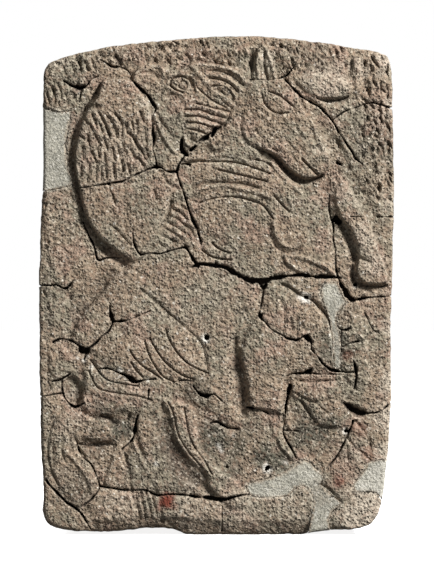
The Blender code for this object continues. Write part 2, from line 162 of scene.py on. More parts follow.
GROUND_FORMS = [
    Form(0.50, 9, 0.0, [(46, 70), (110, 54), (190, 45), (250, 43), (248, 60), (190, 58), (130, 66),
                        (90, 82),
                        (72, 108), (66, 150), (68, 190), (78, 225), (94, 262), (98, 285), (72, 306),
                        (46, 330)]),
    Form(0.56, 8, 0.0, [(280, 46), (350, 52), (386, 60), (388, 180), (386, 240), (370, 205), (352, 178),
                        (338, 150), (318, 112), (300, 88), (284, 78)]),
    Form(0.44, 6, 0.0, [(200, 134), (222, 128), (238, 108), (246, 130), (252, 150), (222, 152),
                        (196, 156)]),
]
MOATS = {
    "behind the mane": Cuts(4.6, 4.4, [
        [(101, 84, 1.2), (96, 93, 1.8), (88, 104, 2.2), (82, 113, 2.4), (77, 124, 3), (73, 138, 3.6),
         (71, 152, 4),
         (72, 166, 4.2), (74, 178, 3.8), (78, 190, 2.4), (80, 202, 2.4), (83, 214, 3.4), (88, 228, 5.4),
         (97, 240, 7), (106, 250, 7.6), (117, 259, 6.4), (129, 268, 3.4)]]),
    "behind the rump": Cuts(3.0, 9.0, [[(112, 272, 5), (100, 288), (87, 303), (77, 318), (70, 334, 6)]]),
    "under the muzzle": Cuts(7.5, 5.0, [
        [(268, 154, 1.2), (277, 160, 2.4), (285, 169, 4.2), (294, 177, 5), (304, 181, 5), (314, 180, 3.6),
         (322, 176, 1.6)]]),
    "under the horn": Cuts(6.4, 4.0, [[(317, 98, 1.2), (322, 100, 3), (331, 101), (341, 100, 3),
                                       (348, 97, 1.2)]]),
    "left of the raised leg": Cuts(5.6, 4.8, [
        [(338, 222, 3), (343, 229, 4), (348, 238), (352, 248, 4.6), (354, 258, 3.4)],
        [(352, 266, 2.4), (352, 274, 3.4), (356, 283, 2.6), (368, 287, 2.1), (380, 287, 2.0),
         (389, 285, 1.4)]]),
    "beside the ear": Cuts(5.0, 2.6, [[(253, 47, 1.6), (252, 60), (251, 77, 2)]]),
    "between the bodies": Cuts(4.5, 7.0, [
        [(236, 338, 3), (235, 350, 5), (237, 366, 7.5), (240, 384, 8), (242, 402, 7.5), (244, 416, 4)]]),
    "beside the hind leg": Cuts(3.0, 10.0, [
        [(162, 404, 3.6), (162, 420, 7), (163, 436), (169, 452), (180, 466), (194, 480, 8),
         (212, 493, 4)]]),
    "under the near leg": Cuts(5.5, 4.0, [[(80, 444, 2), (90, 445), (104, 445), (115, 444, 2)],
                                          [(100, 416, 2), (108, 418, 4), (118, 424, 3)]]),
    "beside the block": Cuts(3.0, 4.0, [[(129, 416, 3), (126, 430), (122, 440, 3)]]),
    "left of the near leg": Cuts(1.6, 3.0, [[(55, 428, 2), (53, 446), (54, 468, 2)]]),
}

BODIES = Form(0.52, 7, 0.10, [
    (106, 258), (104, 282), (83, 310), (68, 340), (82, 366), (88, 402), (150, 408), (185, 402), (238, 428),
    (240, 412), (231, 370), (234, 348), (250, 340), (262, 380), (270, 416), (283, 412), (288, 384),
    (330, 385), (345, 401), (366, 396), (371, 362), (364, 312), (345, 292), (336, 270), (334, 213),
    (335, 185), (304, 193), (272, 163), (225, 152), (185, 150), (130, 190),
])
HAUNCH = Form(0.68, 6, 0.18, [
    (138, 288), (160, 304), (180, 322), (199, 339), (206, 356), (208, 372), (190, 381), (140, 378),
    (100, 369),
    (89, 350), (100, 334), (113, 320), (122, 300),
])
BULL_FLANK = Form(0.74, 5, 0.18, [
    (262, 284), (283, 285), (300, 296), (320, 309), (332, 328), (337, 366), (300, 373), (287, 378),
    (284, 413), (266, 412), (248, 408), (245, 385), (239, 352), (249, 325), (261, 305),
])
TAIL = Form(0.68, 3, 0.08, [
    (338, 314), (347, 304), (357, 301), (364, 318), (367, 355), (371, 374), (366, 390), (353, 388),
    (342, 370), (339, 340),
])
BULL_THIGH = Form(0.64, 4, 0.14, [
    (294, 381), (332, 383), (346, 396), (350, 418), (338, 428), (316, 425), (302, 404), (290, 395),
])
BULL_SHIN = Form(0.47, 3, 0.0, [(268, 416), (282, 413), (282, 438), (296, 458), (284, 452), (272, 434)])
BULL_HOOF = Form(0.46, 2.6, 0.04, [
    (353, 424), (364, 426), (371, 446), (367, 468), (356, 480), (353, 494), (342, 501), (331, 490),
    (320, 480), (332, 463), (344, 443),
])
LEFT_BLOCK = Form(0.52, 3, 0.08, [(50, 350), (63, 343), (78, 350), (81, 362), (72, 373), (56, 380),
                                  (48, 368)])
BASE_BAND = Form(0.46, 4, 0.0, [
    (100, 490), (140, 492), (200, 498), (232, 501), (258, 497), (300, 488), (312, 500), (308, 521),
    (230, 523), (160, 519), (96, 522), (88, 506),
])
HIND_LEG = Form(0.70, 6.0, 0.12, [
    (84, 366), (94, 365), (103, 376), (130, 386), (165, 394), (184, 400), (197, 410), (200, 432),
    (204, 452),
    (225, 468), (247, 488), (250, 502), (236, 511), (222, 503), (207, 489), (203, 474), (186, 460),
    (173, 440), (169, 420), (158, 406), (120, 404), (90, 402), (82, 385),
])
LOWER_LEFT = Form(0.52, 7, 0.0, [(36, 398), (62, 404), (60, 440), (58, 470), (70, 490), (88, 508),
                                 (92, 540), (36, 540)])
BELOW_LEG = Form(0.70, 9, 0.0, [(84, 388), (168, 396), (168, 414), (162, 440), (138, 436), (134, 418),
                                (112, 416), (84, 416)])
NEAR_LEG = Form(0.64, 4.0, 0.08, [
    (51, 430), (57, 411), (80, 411), (97, 419), (110, 425), (116, 437), (103, 443), (85, 440), (78, 446),
    (90, 462), (100, 486), (91, 501), (79, 508), (60, 490), (48, 462),
])
SHORT_RIDGE = Form(0.54, 3, 0.0, [(134, 440), (146, 462), (162, 490), (132, 490), (126, 462)])
SHORT_WEDGE = Form(0.48, 3, 0.0, [(115, 453), (123, 460), (128, 486), (104, 486), (108, 468)])
BELOW_HOCK = Form(0.58, 9, 0.0, [(142, 436), (164, 430), (176, 452), (192, 470), (212, 494), (160, 492),
                                 (140, 488)])
UPRIGHT_BLOCK = Form(0.62, 4, 0.0, [(140, 414), (158, 411), (161, 440), (154, 468), (142, 452), (136, 432)])
NECK = Form(0.60, 4, 0.14, [
    (184, 157), (222, 152), (250, 159), (272, 163), (290, 181), (304, 193), (304, 236), (290, 252),
    (250, 256), (212, 246), (198, 225), (190, 196), (179, 172),
])
ABOVE_LEG = Form(0.74, 10, 0.0, [(326, 178), (336, 172), (352, 174), (356, 200), (350, 222), (338, 224),
                                 (331, 216), (326, 200)])
RAISED_LEG = Form(0.94, 2.6, 0.06, [
    (336, 186), (345, 182), (356, 198), (370, 222), (376, 240), (386, 268), (387, 283), (366, 285),
    (357, 278), (355, 268), (357, 258), (356, 246), (349, 230), (340, 218), (334, 200),
])
MANE = Form(0.92, 2.6, 0.08, [
    (131, 80), (104, 80), (97, 95), (87, 110), (80, 126), (76, 142), (74, 158), (75, 172), (79, 190),
    (82, 204),
    (86, 218), (100, 240), (116, 251), (134, 262), (150, 252), (160, 240), (167, 220), (171, 200),
    (176, 172),
    (158, 168), (156, 130), (148, 100),
])
LION_HEAD = Form(0.78, 3.0, 0.0, [
    (131, 78), (143, 66), (158, 64), (176, 70), (191, 64), (214, 63), (236, 69), (248, 83), (241, 103),
    (232, 112),
    (226, 124), (212, 131), (197, 150), (184, 153), (172, 156), (154, 152), (149, 120), (141, 96),
])
CHEEK_LUMP = Form(0.80, 3, 0.12, [(154, 148), (170, 150), (179, 156), (182, 163), (174, 172), (154, 170)])
BULL_EAR = Form(0.78, 2.5, 0.0, [(253, 79), (255, 56), (263, 43), (272, 57), (278, 80), (266, 84)])
BULL_HORN = Form(0.78, 2.6, 0.14, [
    (293, 80), (299, 74), (312, 72), (328, 73), (341, 76), (352, 83), (354, 91), (346, 98), (325, 100),
    (311, 97),
])
BESIDE_HORN = Form(0.66, 7, 0.0, [(282, 76), (300, 68), (322, 72), (322, 104), (304, 102), (290, 92)])
BESIDE_HEAD = Form(0.74, 8, 0.0, [
    (218, 68), (262, 74), (262, 150), (284, 166), (270, 168), (244, 162), (212, 154), (204, 142),
    (218, 128),
    (222, 104),
])
BOTTOM_WEAR = Form(-0.30, 18, 0.0, [
    (84, 520), (124, 517), (160, 513), (196, 516), (236, 520), (300, 519), (344, 522), (352, 560),
    (80, 560),
])
BULL_HEAD = Form(0.86, 3.0, 0.06, [
    (251, 80), (247, 103), (241, 128), (248, 146), (262, 151), (276, 157), (287, 170), (300, 179),
    (313, 180),
    (326, 171), (331, 160), (322, 140), (313, 120), (301, 102), (295, 86), (276, 78),
])
FORMS = [
    BODIES, HAUNCH, BULL_FLANK, TAIL, BULL_THIGH, BULL_SHIN, BULL_HOOF, LEFT_BLOCK, BASE_BAND, LOWER_LEFT,
    BELOW_LEG, HIND_LEG,
    NEAR_LEG, BELOW_HOCK, SHORT_RIDGE, SHORT_WEDGE, UPRIGHT_BLOCK, NECK, BESIDE_HEAD, ABOVE_LEG, RAISED_LEG,
    MANE, LION_HEAD, CHEEK_LUMP, BULL_EAR,
    BESIDE_HORN, BULL_HORN, BULL_HEAD, BOTTOM_WEAR,
]

CARVED_LINES = {
    "lion eye rim": Cuts(4.0, 1.3, [
        [(170, 85), (172, 80), (178, 77), (185, 78), (190, 82), (192, 88)],
        [(170, 86), (175, 90), (183, 93)]]),
    "lion eye ball": Cuts(3.0, 1.0, [[(179, 84), (183, 81), (187, 84), (187, 88), (183, 90), (179, 88),
                                      (179, 84)]]),
    "lion eye lid": Cuts(-2.2, 2.0, [[(168, 88), (174, 92), (182, 95)], [(170, 77), (178, 74), (187, 75)]]),
    "lion brow": Cuts(3.2, 1.8, [[(189, 78), (193, 84), (195, 93)]]),
    "lion ear rim": Cuts(-2.4, 2.6, [[(135, 74), (140, 68), (147, 65), (156, 65), (162, 69), (165, 78)]]),
    "lion ear hollow": Cuts(2.4, 2.6, [[(139, 74, 2), (147, 72), (155, 74), (158, 79, 2)]]),
    "lion ear base": Cuts(2.6, 1.8, [[(166, 74), (166, 84), (162, 94)], [(167, 97), (172, 94)]]),
    "nose ridge": Cuts(-2.2, 3.4, [
        [(190, 65, 2.4), (197, 72), (204, 80), (210, 87), (217, 93), (225, 99), (232, 105, 2.4)]]),
    "nose groove": Cuts(2.0, 1.3, [[(197, 88), (206, 96), (214, 102), (226, 108)], [(186, 70), (189, 66)]]),
    "lion crown": Cuts(3.0, 1.4, [[(196, 59), (205, 62), (218, 64), (230, 65), (242, 68), (249, 74)]]),
    "muzzle ridges": Cuts(-2.6, 2.4, [
        [(204, 65), (218, 67), (230, 70), (240, 76), (247, 84)],
        [(210, 75), (222, 77), (232, 82), (241, 90)],
        [(212, 84), (222, 86), (231, 92), (236, 99)]]),
    "muzzle grooves": Cuts(2.4, 1.3, [
        [(208, 71), (220, 72), (232, 77), (243, 86)],
        [(209, 79), (219, 80), (229, 84), (238, 93)],
        [(212, 87, 1), (218, 86), (226, 88), (234, 97)]]),
    "nostril": Cuts(3.4, 3.6, [[(214, 90, 2), (219, 92), (224, 95, 2)]]),
    "mouth front": Cuts(4.4, 1.4, [[(233, 100), (238, 99)], [(232, 108), (229, 117), (224, 127)]]),
    "mouth ridges": Cuts(-1.6, 2.0, [
        [(188, 108), (202, 107), (216, 112), (227, 115)], [(186, 114), (200, 115), (216, 120)],
        [(187, 120), (202, 122), (215, 126)], [(187, 127), (200, 129), (211, 132)]]),
    "mouth grooves": Cuts(2.4, 1.2, [
        [(184, 110), (198, 110), (212, 115), (228, 119)], [(185, 117), (200, 117), (214, 122), (224, 125)],
        [(186, 123), (201, 124), (214, 129)], [(188, 129), (200, 132), (207, 135)],
        [(196, 104), (212, 108), (229, 112)]]),
    "jaw ring": Cuts(-3.0, 2.2, [[(185, 133), (185, 141), (190, 146), (196, 143), (198, 136)]]),
    "jaw hollow": Cuts(3.0, 2.4, [[(191, 134, 2), (191, 140)]]),
    "ruff ridge": Cuts(-3.0, 2.6, [[(154, 114, 2), (159, 126), (166, 140), (173, 150), (179, 156)]]),
    "ruff grooves": Cuts(2.8, 1.5, [[(160, 120), (166, 128), (172, 136)], [(178, 116), (175, 123)]]),
    "mane dark step": Cuts(3.4, 3.6, [[(84, 112), (92, 107), (100, 108)]]),
    "near leg outline": Cuts(2.0, 1.6, [
        [(66, 409), (56, 418), (50, 432), (48, 450), (51, 468), (58, 484)],
        [(64, 436), (62, 450), (66, 462)]]),
    "lower mane": Cuts(2.6, 1.9, [
        [(110, 224), (117, 230), (124, 238), (131, 245)], [(162, 172), (166, 180), (172, 186), (178, 188)],
        [(113, 195), (115, 203)], [(154, 190), (157, 200)]]),
    "teardrop edge": Cuts(4.4, 3.4, [[(171, 202), (168, 212), (163, 225), (157, 238), (151, 248)]]),
    "bull brow": Cuts(3.8, 1.3, [[(262, 95), (264, 103), (270, 110), (278, 114), (288, 113)],
                                 [(268, 92), (279, 96), (293, 107)]]),
    "bull eye": Cuts(-2.2, 4.6, [[(269, 99), (276, 104), (284, 109)]]),
    "bull cheek": Cuts(2.2, 1.8, [[(303, 108), (309, 122), (314, 138), (320, 152)],
                                  [(277, 152), (272, 149)]]),
    "bull nose ridge": Cuts(-2.6, 4.0, [[(301, 98), (311, 114), (319, 134), (327, 152), (328, 162)]]),
    "bull hatching": Cuts(1.8, 1.3, [
        [(262, 118), (272, 128)], [(250, 112), (256, 122)], [(282, 120), (292, 132)],
        [(270, 134), (280, 143)],
        [(296, 128), (304, 140)], [(286, 140), (296, 152)], [(254, 130), (264, 140)],
        [(300, 146), (308, 156)],
        [(288, 104), (297, 114)], [(276, 118), (282, 126)], [(290, 154), (297, 162)],
        [(262, 144), (270, 149)]]),
    "bull mouth": Cuts(4.6, 1.5, [[(302, 160), (309, 167), (317, 175)]]),
    "head outline": Cuts(2.6, 1.2, [[(243, 112, 0.8), (241, 128), (245, 140), (252, 147), (262, 151),
                                     (274, 156)]]),
    "ear groove": Cuts(5.0, 2.0, [[(265, 52), (264, 64), (267, 79)]]),
    "ear ridges": Cuts(-2.8, 2.4, [[(259, 50), (257, 64), (259, 78)], [(266, 48), (271, 62), (275, 78)]]),
    "upright ridge": Cuts(-2.8, 5.0, [[(355, 58), (357, 74), (358, 92)]]),
    "upright groove": Cuts(3.4, 1.8, [[(352, 62), (350, 70), (348, 78)]]),
    "neck ridges": Cuts(-2.8, 2.6, [
        [(186, 159), (204, 157), (222, 154), (236, 156), (247, 162)],
        [(184, 196), (200, 190), (216, 186), (230, 186), (245, 190), (258, 193), (272, 198)]]),
    "neck grooves": Cuts(3.8, 1.4, [
        [(182, 165), (196, 162), (222, 162), (236, 163), (248, 166)], [(256, 160), (264, 162), (271, 166)],
        [(250, 167), (262, 171), (270, 174)], [(218, 170), (235, 174), (252, 178), (267, 182)],
        [(200, 203), (212, 199), (228, 197), (240, 198), (251, 201), (262, 205), (268, 212), (273, 219)],
        [(274, 196), (281, 204), (289, 212)], [(212, 243), (219, 249), (229, 253)],
        [(202, 250), (210, 256), (220, 259), (231, 260)]]),
    "neck fold": Cuts(4.2, 2.4, [[(193, 187), (202, 184), (214, 183), (228, 183), (242, 184), (258, 188)]]),
    "hook roll": Cuts(-2.6, 3.0, [[(274, 222), (276, 234), (281, 243), (291, 247), (300, 243)]]),
    "hook roll edge": Cuts(2.4, 1.7, [[(269, 224), (270, 234), (275, 245), (282, 251), (292, 252),
                                       (302, 246)]]),
    "shoulder edge": Cuts(-3.2, 3.0, [
        [(272, 163), (280, 172), (290, 182), (302, 193)],
        [(285, 256), (298, 257), (310, 260), (325, 267), (335, 275)],
        [(286, 260), (292, 266), (301, 270)]]),
    "foreleg knee": Cuts(3.0, 2.6, [[(353, 260), (360, 259), (368, 262)]]),
    "haunch edge": Cuts(3.2, 1.4, [
        [(141, 289), (159, 304), (166, 311), (178, 321), (190, 331), (200, 341), (205, 353), (208, 370)]]),
    "rump edge": Cuts(2.4, 2.4, [[(107, 284), (97, 296), (84, 310), (76, 321), (71, 336)]]),
    "thigh grooves": Cuts(3.2, 1.3, [
        [(166, 329), (168, 337), (174, 348), (182, 358), (192, 366), (208, 373)],
        [(150, 338), (154, 346), (162, 358), (172, 368), (184, 376), (194, 379)],
        [(145, 341), (148, 352), (155, 366), (164, 377), (173, 381)],
        [(130, 350), (135, 358), (143, 366), (152, 372), (161, 378)],
        [(131, 362), (136, 370), (143, 377)]]),
    "leg grooves": Cuts(2.6, 1.3, [
        [(91, 360), (98, 370), (104, 377), (112, 381), (124, 384), (138, 386)],
        [(89, 371), (94, 382), (100, 389), (112, 392), (124, 394), (138, 396), (152, 400)],
        [(168, 402), (173, 412), (176, 425), (178, 434), (184, 445), (192, 456), (203, 468)],
        [(184, 407), (187, 424), (190, 438), (196, 449), (204, 460), (212, 474)]]),
    "leg hollows": Cuts(1.6, 2.0, [[(85, 395), (96, 396), (106, 401), (116, 404)]]),
    "bull back": Cuts(4.4, 2.2, [[(282, 284), (290, 288), (300, 295), (310, 299), (320, 308), (328, 318),
                                  (331, 329)]]),
    "bull thigh grooves": Cuts(2.8, 1.7, [
        [(281, 300), (285, 309), (284, 324), (283, 334)], [(291, 318), (292, 330)],
        [(297, 316), (297, 338)],
        [(302, 318), (302, 328)]]),
    "bull knee grooves": Cuts(3.4, 1.3, [
        [(295, 393), (302, 397), (314, 402), (336, 397)], [(301, 400), (306, 409), (316, 422)],
        [(313, 401), (320, 406), (328, 413)], [(300, 381), (312, 382), (338, 379)]]),
    "bull shin": Cuts(-2.2, 2.4, [[(281, 413), (281, 430), (280, 443), (286, 452), (295, 460)]]),
    "bull hoof ridge": Cuts(-1.4, 2.6, [[(290, 397), (299, 403), (307, 414), (316, 424)],
                                        [(287, 422), (292, 427), (304, 426), (315, 427)]]),
    "hoof creases": Cuts(3.0, 1.5, [
        [(347, 446), (348, 456), (349, 462)],
        [(347, 437), (354, 446), (362, 452), (372, 462)],
        [(355, 421), (362, 428), (368, 438), (371, 448)]]),
    "hoof edge": Cuts(1.8, 1.2, [[(320, 483), (328, 489), (334, 495), (337, 499), (346, 500), (355, 491)]]),
    "top hollows": Cuts(5.5, 3.2, [[(116, 57, 2.4), (119, 61), (121, 65, 2)],
                                   [(75, 86, 2), (80, 88, 3), (83, 87, 2)]]),
    "upper left marks": Cuts(3.2, 1.5, [
        [(64, 67), (67, 76)], [(72, 64), (75, 74)], [(79, 63), (82, 73)], [(85, 62), (89, 71)],
        [(92, 60), (95, 69)],
        [(49, 84), (54, 92), (56, 102)], [(57, 82), (61, 92), (62, 99)], [(47, 94), (50, 104)],
        [(66, 94), (69, 104)]]),
    "tail blocks": Cuts(-2.0, 2.2, [
        [(339, 318), (344, 310), (351, 313), (353, 322), (347, 329)], [(343, 335), (353, 333), (362, 337)],
        [(344, 349), (354, 347)], [(357, 364), (365, 361), (370, 370), (370, 384)]]),
    "tail edge": Cuts(-2.2, 2.6, [[(357, 302), (362, 312), (366, 326), (367, 352)]]),
    "near leg ridge": Cuts(-2.4, 2.6, [[(66, 450), (72, 456), (81, 467), (89, 479), (93, 491)]]),
    "near leg hollows": Cuts(3.0, 3.0, [
        [(75, 436), (78, 448), (84, 457)], [(70, 434), (72, 448)]]),
    "low ridge": Cuts(-2.0, 3.0, [[(134, 443), (140, 456), (150, 474), (160, 489)],
                                  [(115, 454), (111, 468), (107, 482)]]),
    "low grooves": Cuts(2.6, 2.2, [[(125, 455), (129, 468), (132, 488), (136, 508)],
                                   [(160, 497), (162, 522)]]),
    "chest hatching": Cuts(3.0, 1.6, [
        [(173, 209), (181, 213), (187, 219)], [(170, 216), (178, 219), (186, 227)],
        [(168, 222), (176, 227), (190, 236)],
        [(166, 229), (174, 233), (182, 240)], [(163, 236), (171, 240), (177, 246)],
        [(181, 205), (187, 210)],
        [(186, 225), (191, 230), (195, 237)], [(171, 239), (180, 244)], [(158, 242), (166, 248)]]),
    "belly edge": Cuts(1.8, 2.2, [[(197, 414), (210, 420), (224, 425), (238, 429)]]),
    "foot grooves": Cuts(3.2, 1.6, [
        [(136 + 5 * k, 492), (140 + 6 * k, 518 - 2 * k / 3)] for k in range(4)]),
}
MANE_LOCKS = Cuts(4.2, 1.7, [
    [(84, 115), (87, 123), (90, 132)], [(92, 114), (95, 121), (98, 129)],
    [(99, 113), (104, 122), (110, 135)],
    [(107, 116), (113, 124), (118, 134)], [(114, 113), (120, 120)], [(119, 118), (123, 128), (122, 138)],
    [(81, 137), (88, 141)], [(94, 133), (101, 146)], [(104, 138), (108, 150)], [(112, 128), (118, 138)],
    [(83, 147), (84, 160)], [(92, 152), (97, 163)], [(105, 153), (107, 178)], [(113, 148), (115, 160)],
    [(90, 165), (88, 182)], [(97, 166), (97, 181)], [(82, 166), (81, 178)], [(114, 164), (115, 178)],
    [(123, 143), (126, 154)], [(130, 134), (136, 143), (142, 152)], [(137, 121), (138, 134)],
    [(140, 112), (144, 122)], [(145, 128), (147, 146)], [(126, 124), (128, 134)], [(122, 160), (124, 172)],
    [(131, 150), (136, 160)], [(88, 134), (90, 146)], [(98, 148), (100, 158)], [(106, 128), (110, 138)],
    [(118, 146), (120, 156)], [(134, 138), (139, 150)], [(141, 148), (146, 160)], [(138, 158), (144, 166)],
    [(128, 164), (130, 174)], [(90, 124), (93, 131)], [(100, 124), (103, 132)], [(132, 122), (134, 130)],
    [(146, 148), (149, 158)], [(102, 168), (102, 180)], [(120, 176), (124, 168)],
])
PECKED = {
    "top strip": Pecks(3.4, 1.5, 6.0, 100, 70, (56, 42, 250, 64)),
    "top right": Pecks(3.4, 1.5, 6.0, 52, 75, (272, 44, 346, 72)),
    "upper left": Pecks(3.4, 1.6, 7.0, 32, 100, (47, 60, 98, 108)),
    "right strip": Pecks(4.6, 1.7, 7.0, 92, 80, (362, 58, 390, 200)),
    "right of the muzzle": Pecks(2.4, 1.5, 6.0, 24, 60, (336, 120, 364, 205)),
    "left strip": Pecks(2.4, 1.5, 6.0, 40, 60, (44, 190, 82, 330)),
    "between the heads": Pecks(1.6, 1.3, 5.0, 16, 50, (196, 120, 240, 156)),
    "bull head": Pecks(1.6, 1.2, 6.0, 30, 50, (248, 84, 322, 168)),
    "body": Pecks(1.8, 1.4, 6.0, 80, 45, (120, 262, 330, 340)),
}
PECK_SEED = 61
PECK_END = 0.6
# The carved lines that are cut crispest, where the mesh is split as fine as in the cracks
CRISP_LINES = [
    "thigh grooves", "leg grooves", "muzzle grooves", "mouth grooves", "lion eye rim", "lion eye ball",
    "bull brow",
    "bull mouth", "neck grooves", "nose groove",
]
CRACKS = Cuts(12.0, 1.4, [
    [(133, 81, 1.0), (137, 86, 1.4), (147, 95, 2.2), (152, 102, 2.3), (156, 109, 1.7), (154, 114, 0.9)],
    [(152, 119, 0.8), (153, 130, 1.3), (154, 141, 1.3), (153, 150, 0.9), (156, 160, 0.8), (157, 168, 1.1)],
    [(81, 188, 0.9), (96, 186, 0.9), (109, 184, 1.3), (125, 181, 1.1), (132, 177, 1.1), (145, 171, 1.1),
     (158, 167, 1.4), (168, 172, 1.2), (177, 172, 1.6)],
    [(186, 154, 0.9), (180, 163, 1.0), (177, 172, 1.5), (180, 183, 1.0), (184, 194, 0.8), (188, 207, 0.9),
     (193, 221, 1.4), (197, 229, 1.9), (200, 238, 1.3), (201, 244, 0.7)],
    [(133, 233, 0.7), (134, 243, 1.3), (138, 252, 1.0), (141, 255, 0.9), (150, 253, 0.7), (160, 254, 0.7),
     (170, 251, 0.9), (178, 249, 1.4), (186, 248, 1.5), (190, 254, 1.5), (195, 262, 1.8), (198, 266, 2.4)],
    [(192, 267, 1.6), (200, 264, 2.8), (210, 265, 2.4), (222, 267, 2.6), (232, 271, 3.4), (240, 276, 4.4),
     (248, 279, 4.6), (256, 281, 4.2), (264, 281, 3.6), (270, 279, 2.8), (280, 277, 2.2), (290, 276, 1.8),
     (300, 275, 1.8), (310, 276, 2.4), (320, 277, 2.2), (332, 277, 1.6), (341, 278, 1.4)],
    [(259, 282, 2.0), (263, 290, 1.2), (262, 300, 0.7), (260, 310, 0.8), (259, 316, 2.0), (264, 321, 0.8),
     (272, 330, 0.7), (280, 334, 0.8), (287, 338, 1.4), (297, 340, 1.5), (302, 337, 1.0), (307, 336, 2.2),
     (311, 343, 1.2), (311, 349, 0.7), (318, 357, 0.9), (322, 363, 1.4), (327, 367, 1.8), (332, 370, 1.6),
     (343, 372, 0.9)],
    [(329, 195, 0.6), (329, 212, 0.8), (333, 225, 0.9), (333, 238, 0.8), (335, 250, 0.8), (336, 270, 1.0),
     (340, 282, 1.6), (345, 292, 3.2), (350, 298, 3.6), (354, 300, 2.2), (365, 298, 0.8), (378, 297, 0.7),
     (393, 296, 0.8)],
    [(285, 80, 0.8), (292, 88, 1.3), (298, 94, 1.7), (304, 99, 1.2), (319, 107, 0.9), (325, 113, 0.9),
     (332, 121, 0.8), (342, 138, 0.8), (350, 149, 0.9), (354, 156, 1.2), (358, 161, 0.8), (363, 165, 0.6)],
    [(333, 120, 0.6), (344, 112, 0.7), (358, 107, 0.8), (370, 103, 0.8), (380, 105, 1.0), (394, 109, 1.0)],
    [(250, 80, 0.6), (270, 80, 0.6), (284, 77, 0.9), (290, 72, 1.0), (298, 58, 0.6), (296, 48, 0.6)],
    [(100, 60, 0.8), (106, 63, 1.2), (112, 67, 1.2), (120, 67, 0.9), (128, 71, 1.0)],
    [(64, 81, 0.7), (74, 87, 1.2), (84, 88, 1.0), (92, 79, 0.8), (98, 77, 0.6)],
    [(81, 92, 0.9), (80, 102, 0.5)],
    [(83, 222, 0.7), (89, 236, 0.9), (94, 246, 1.4), (98, 260, 1.8), (106, 258, 0.8), (122, 258, 0.6)],
    [(350, 217, 0.7), (360, 217, 0.6)], [(377, 217, 0.7), (394, 217, 0.8)],
    [(38, 286, 0.9), (57, 285, 0.9), (62, 288, 1.4), (67, 288, 1.3), (73, 281, 0.7)],
    [(110, 306, 0.8), (111, 314, 2.0), (114, 321, 1.8), (121, 321, 1.6), (128, 320, 0.8), (150, 311, 0.6)],
    [(113, 322, 1.0), (109, 331, 0.9), (102, 336, 0.9), (97, 342, 1.0), (88, 349, 1.3)],
    [(53, 342, 1.2), (60, 339, 1.2), (68, 340, 1.0), (74, 342, 1.0), (82, 348, 1.4)],
    [(52, 381, 0.8), (60, 380, 1.4), (70, 374, 1.0)],
    [(38, 397, 0.9), (50, 395, 0.9), (62, 393, 0.8)],
    [(100, 369, 1.0), (108, 368, 1.2), (116, 372, 0.9), (125, 375, 1.4), (131, 379, 2.8), (136, 382, 2.0),
     (144, 380, 0.8), (156, 379, 0.6)],
    [(173, 382, 0.7), (184, 380, 0.9), (194, 381, 0.8)],
    [(193, 386, 1.0), (197, 391, 1.8), (202, 395, 2.1), (208, 396, 1.9), (214, 394, 1.2), (222, 401, 0.7)],
    [(149, 390, 1.6), (148, 400, 0.6)],
    [(247, 407, 1.0), (253, 408, 1.2), (261, 410, 0.8), (269, 414, 0.7)],
    [(210, 423, 0.7), (217, 422, 1.0), (228, 428, 0.9), (238, 429, 0.7)],
    [(283, 414, 0.8), (284, 424, 0.9), (283, 432, 0.7), (286, 440, 0.7), (291, 448, 1.1), (296, 458, 0.9)],
    [(283, 430, 0.6), (298, 431, 0.6)],
    [(290, 386, 2.2), (288, 395, 2.0), (286, 404, 1.4), (285, 418, 0.9)],
    [(336, 315, 1.0), (335, 322, 1.2), (338, 328, 1.0), (344, 330, 0.9), (350, 328, 0.8)],
    [(341, 330, 0.8), (341, 346, 0.9), (350, 343, 0.8), (364, 340, 1.0)],
    [(340, 350, 1.0), (339, 358, 0.9), (342, 371, 1.2), (353, 372, 0.8)],
    [(353, 360, 1.0), (355, 368, 1.6), (356, 378, 1.8), (354, 388, 1.0)],
    [(364, 312, 0.5), (373, 330, 0.6), (378, 332, 0.5)],
    [(287, 376, 0.7), (292, 374, 0.8), (308, 373, 1.2), (320, 374, 0.6), (343, 374, 0.6)],
    [(353, 421, 1.6), (350, 429, 1.5), (347, 436, 1.4), (342, 446, 0.9), (336, 457, 0.7), (326, 468, 0.6)],
    [(138, 415, 0.8), (136, 422, 1.8), (135, 431, 2.0), (132, 440, 1.0), (122, 449, 0.7)],
    [(46, 480, 1.2), (52, 487, 1.8), (60, 495, 1.9), (67, 502, 1.4), (76, 508, 1.4), (82, 514, 1.0),
     (91, 530, 0.8)],
    [(100, 486, 1.0), (112, 488, 0.9), (125, 490, 0.8), (146, 490, 0.8), (157, 495, 1.0), (172, 494, 0.9),
     (186, 495, 1.0), (198, 497, 1.6), (208, 498, 2.4), (220, 499, 2.4), (230, 498, 1.4), (240, 495, 1.0),
     (249, 494, 0.8)],
    [(100, 487, 1.0), (96, 494, 1.0), (89, 501, 1.3), (80, 507, 1.0)],
    [(77, 441, 0.8), (79, 450, 0.9), (84, 458, 0.7), (91, 464, 0.7), (95, 472, 0.9), (98, 480, 0.9),
     (100, 487, 0.8)],
    [(366, 413, 1.3), (374, 413, 0.9), (382, 410, 0.8), (389, 404, 0.8), (396, 398, 0.8)],
    [(128, 71, 0.8), (131, 76, 0.7), (133, 81, 0.9)],
    [(196, 143, 0.7), (204, 138, 1.2), (213, 132, 1.4), (221, 127, 0.8)],
    [(62, 381, 0.9), (63, 392, 1.0), (67, 401, 1.2), (75, 407, 1.4), (84, 403, 1.0)],
    [(88, 349, 0.8), (84, 360, 0.6)],
    [(109, 186, 0.4), (113, 196, 0.5), (116, 206, 0.4)], [(134, 316, 0.4), (150, 311, 0.4)],
    [(222, 506, 0.5), (222, 531, 0.6)], [(383, 469, 0.7), (386, 479, 0.6)],
])
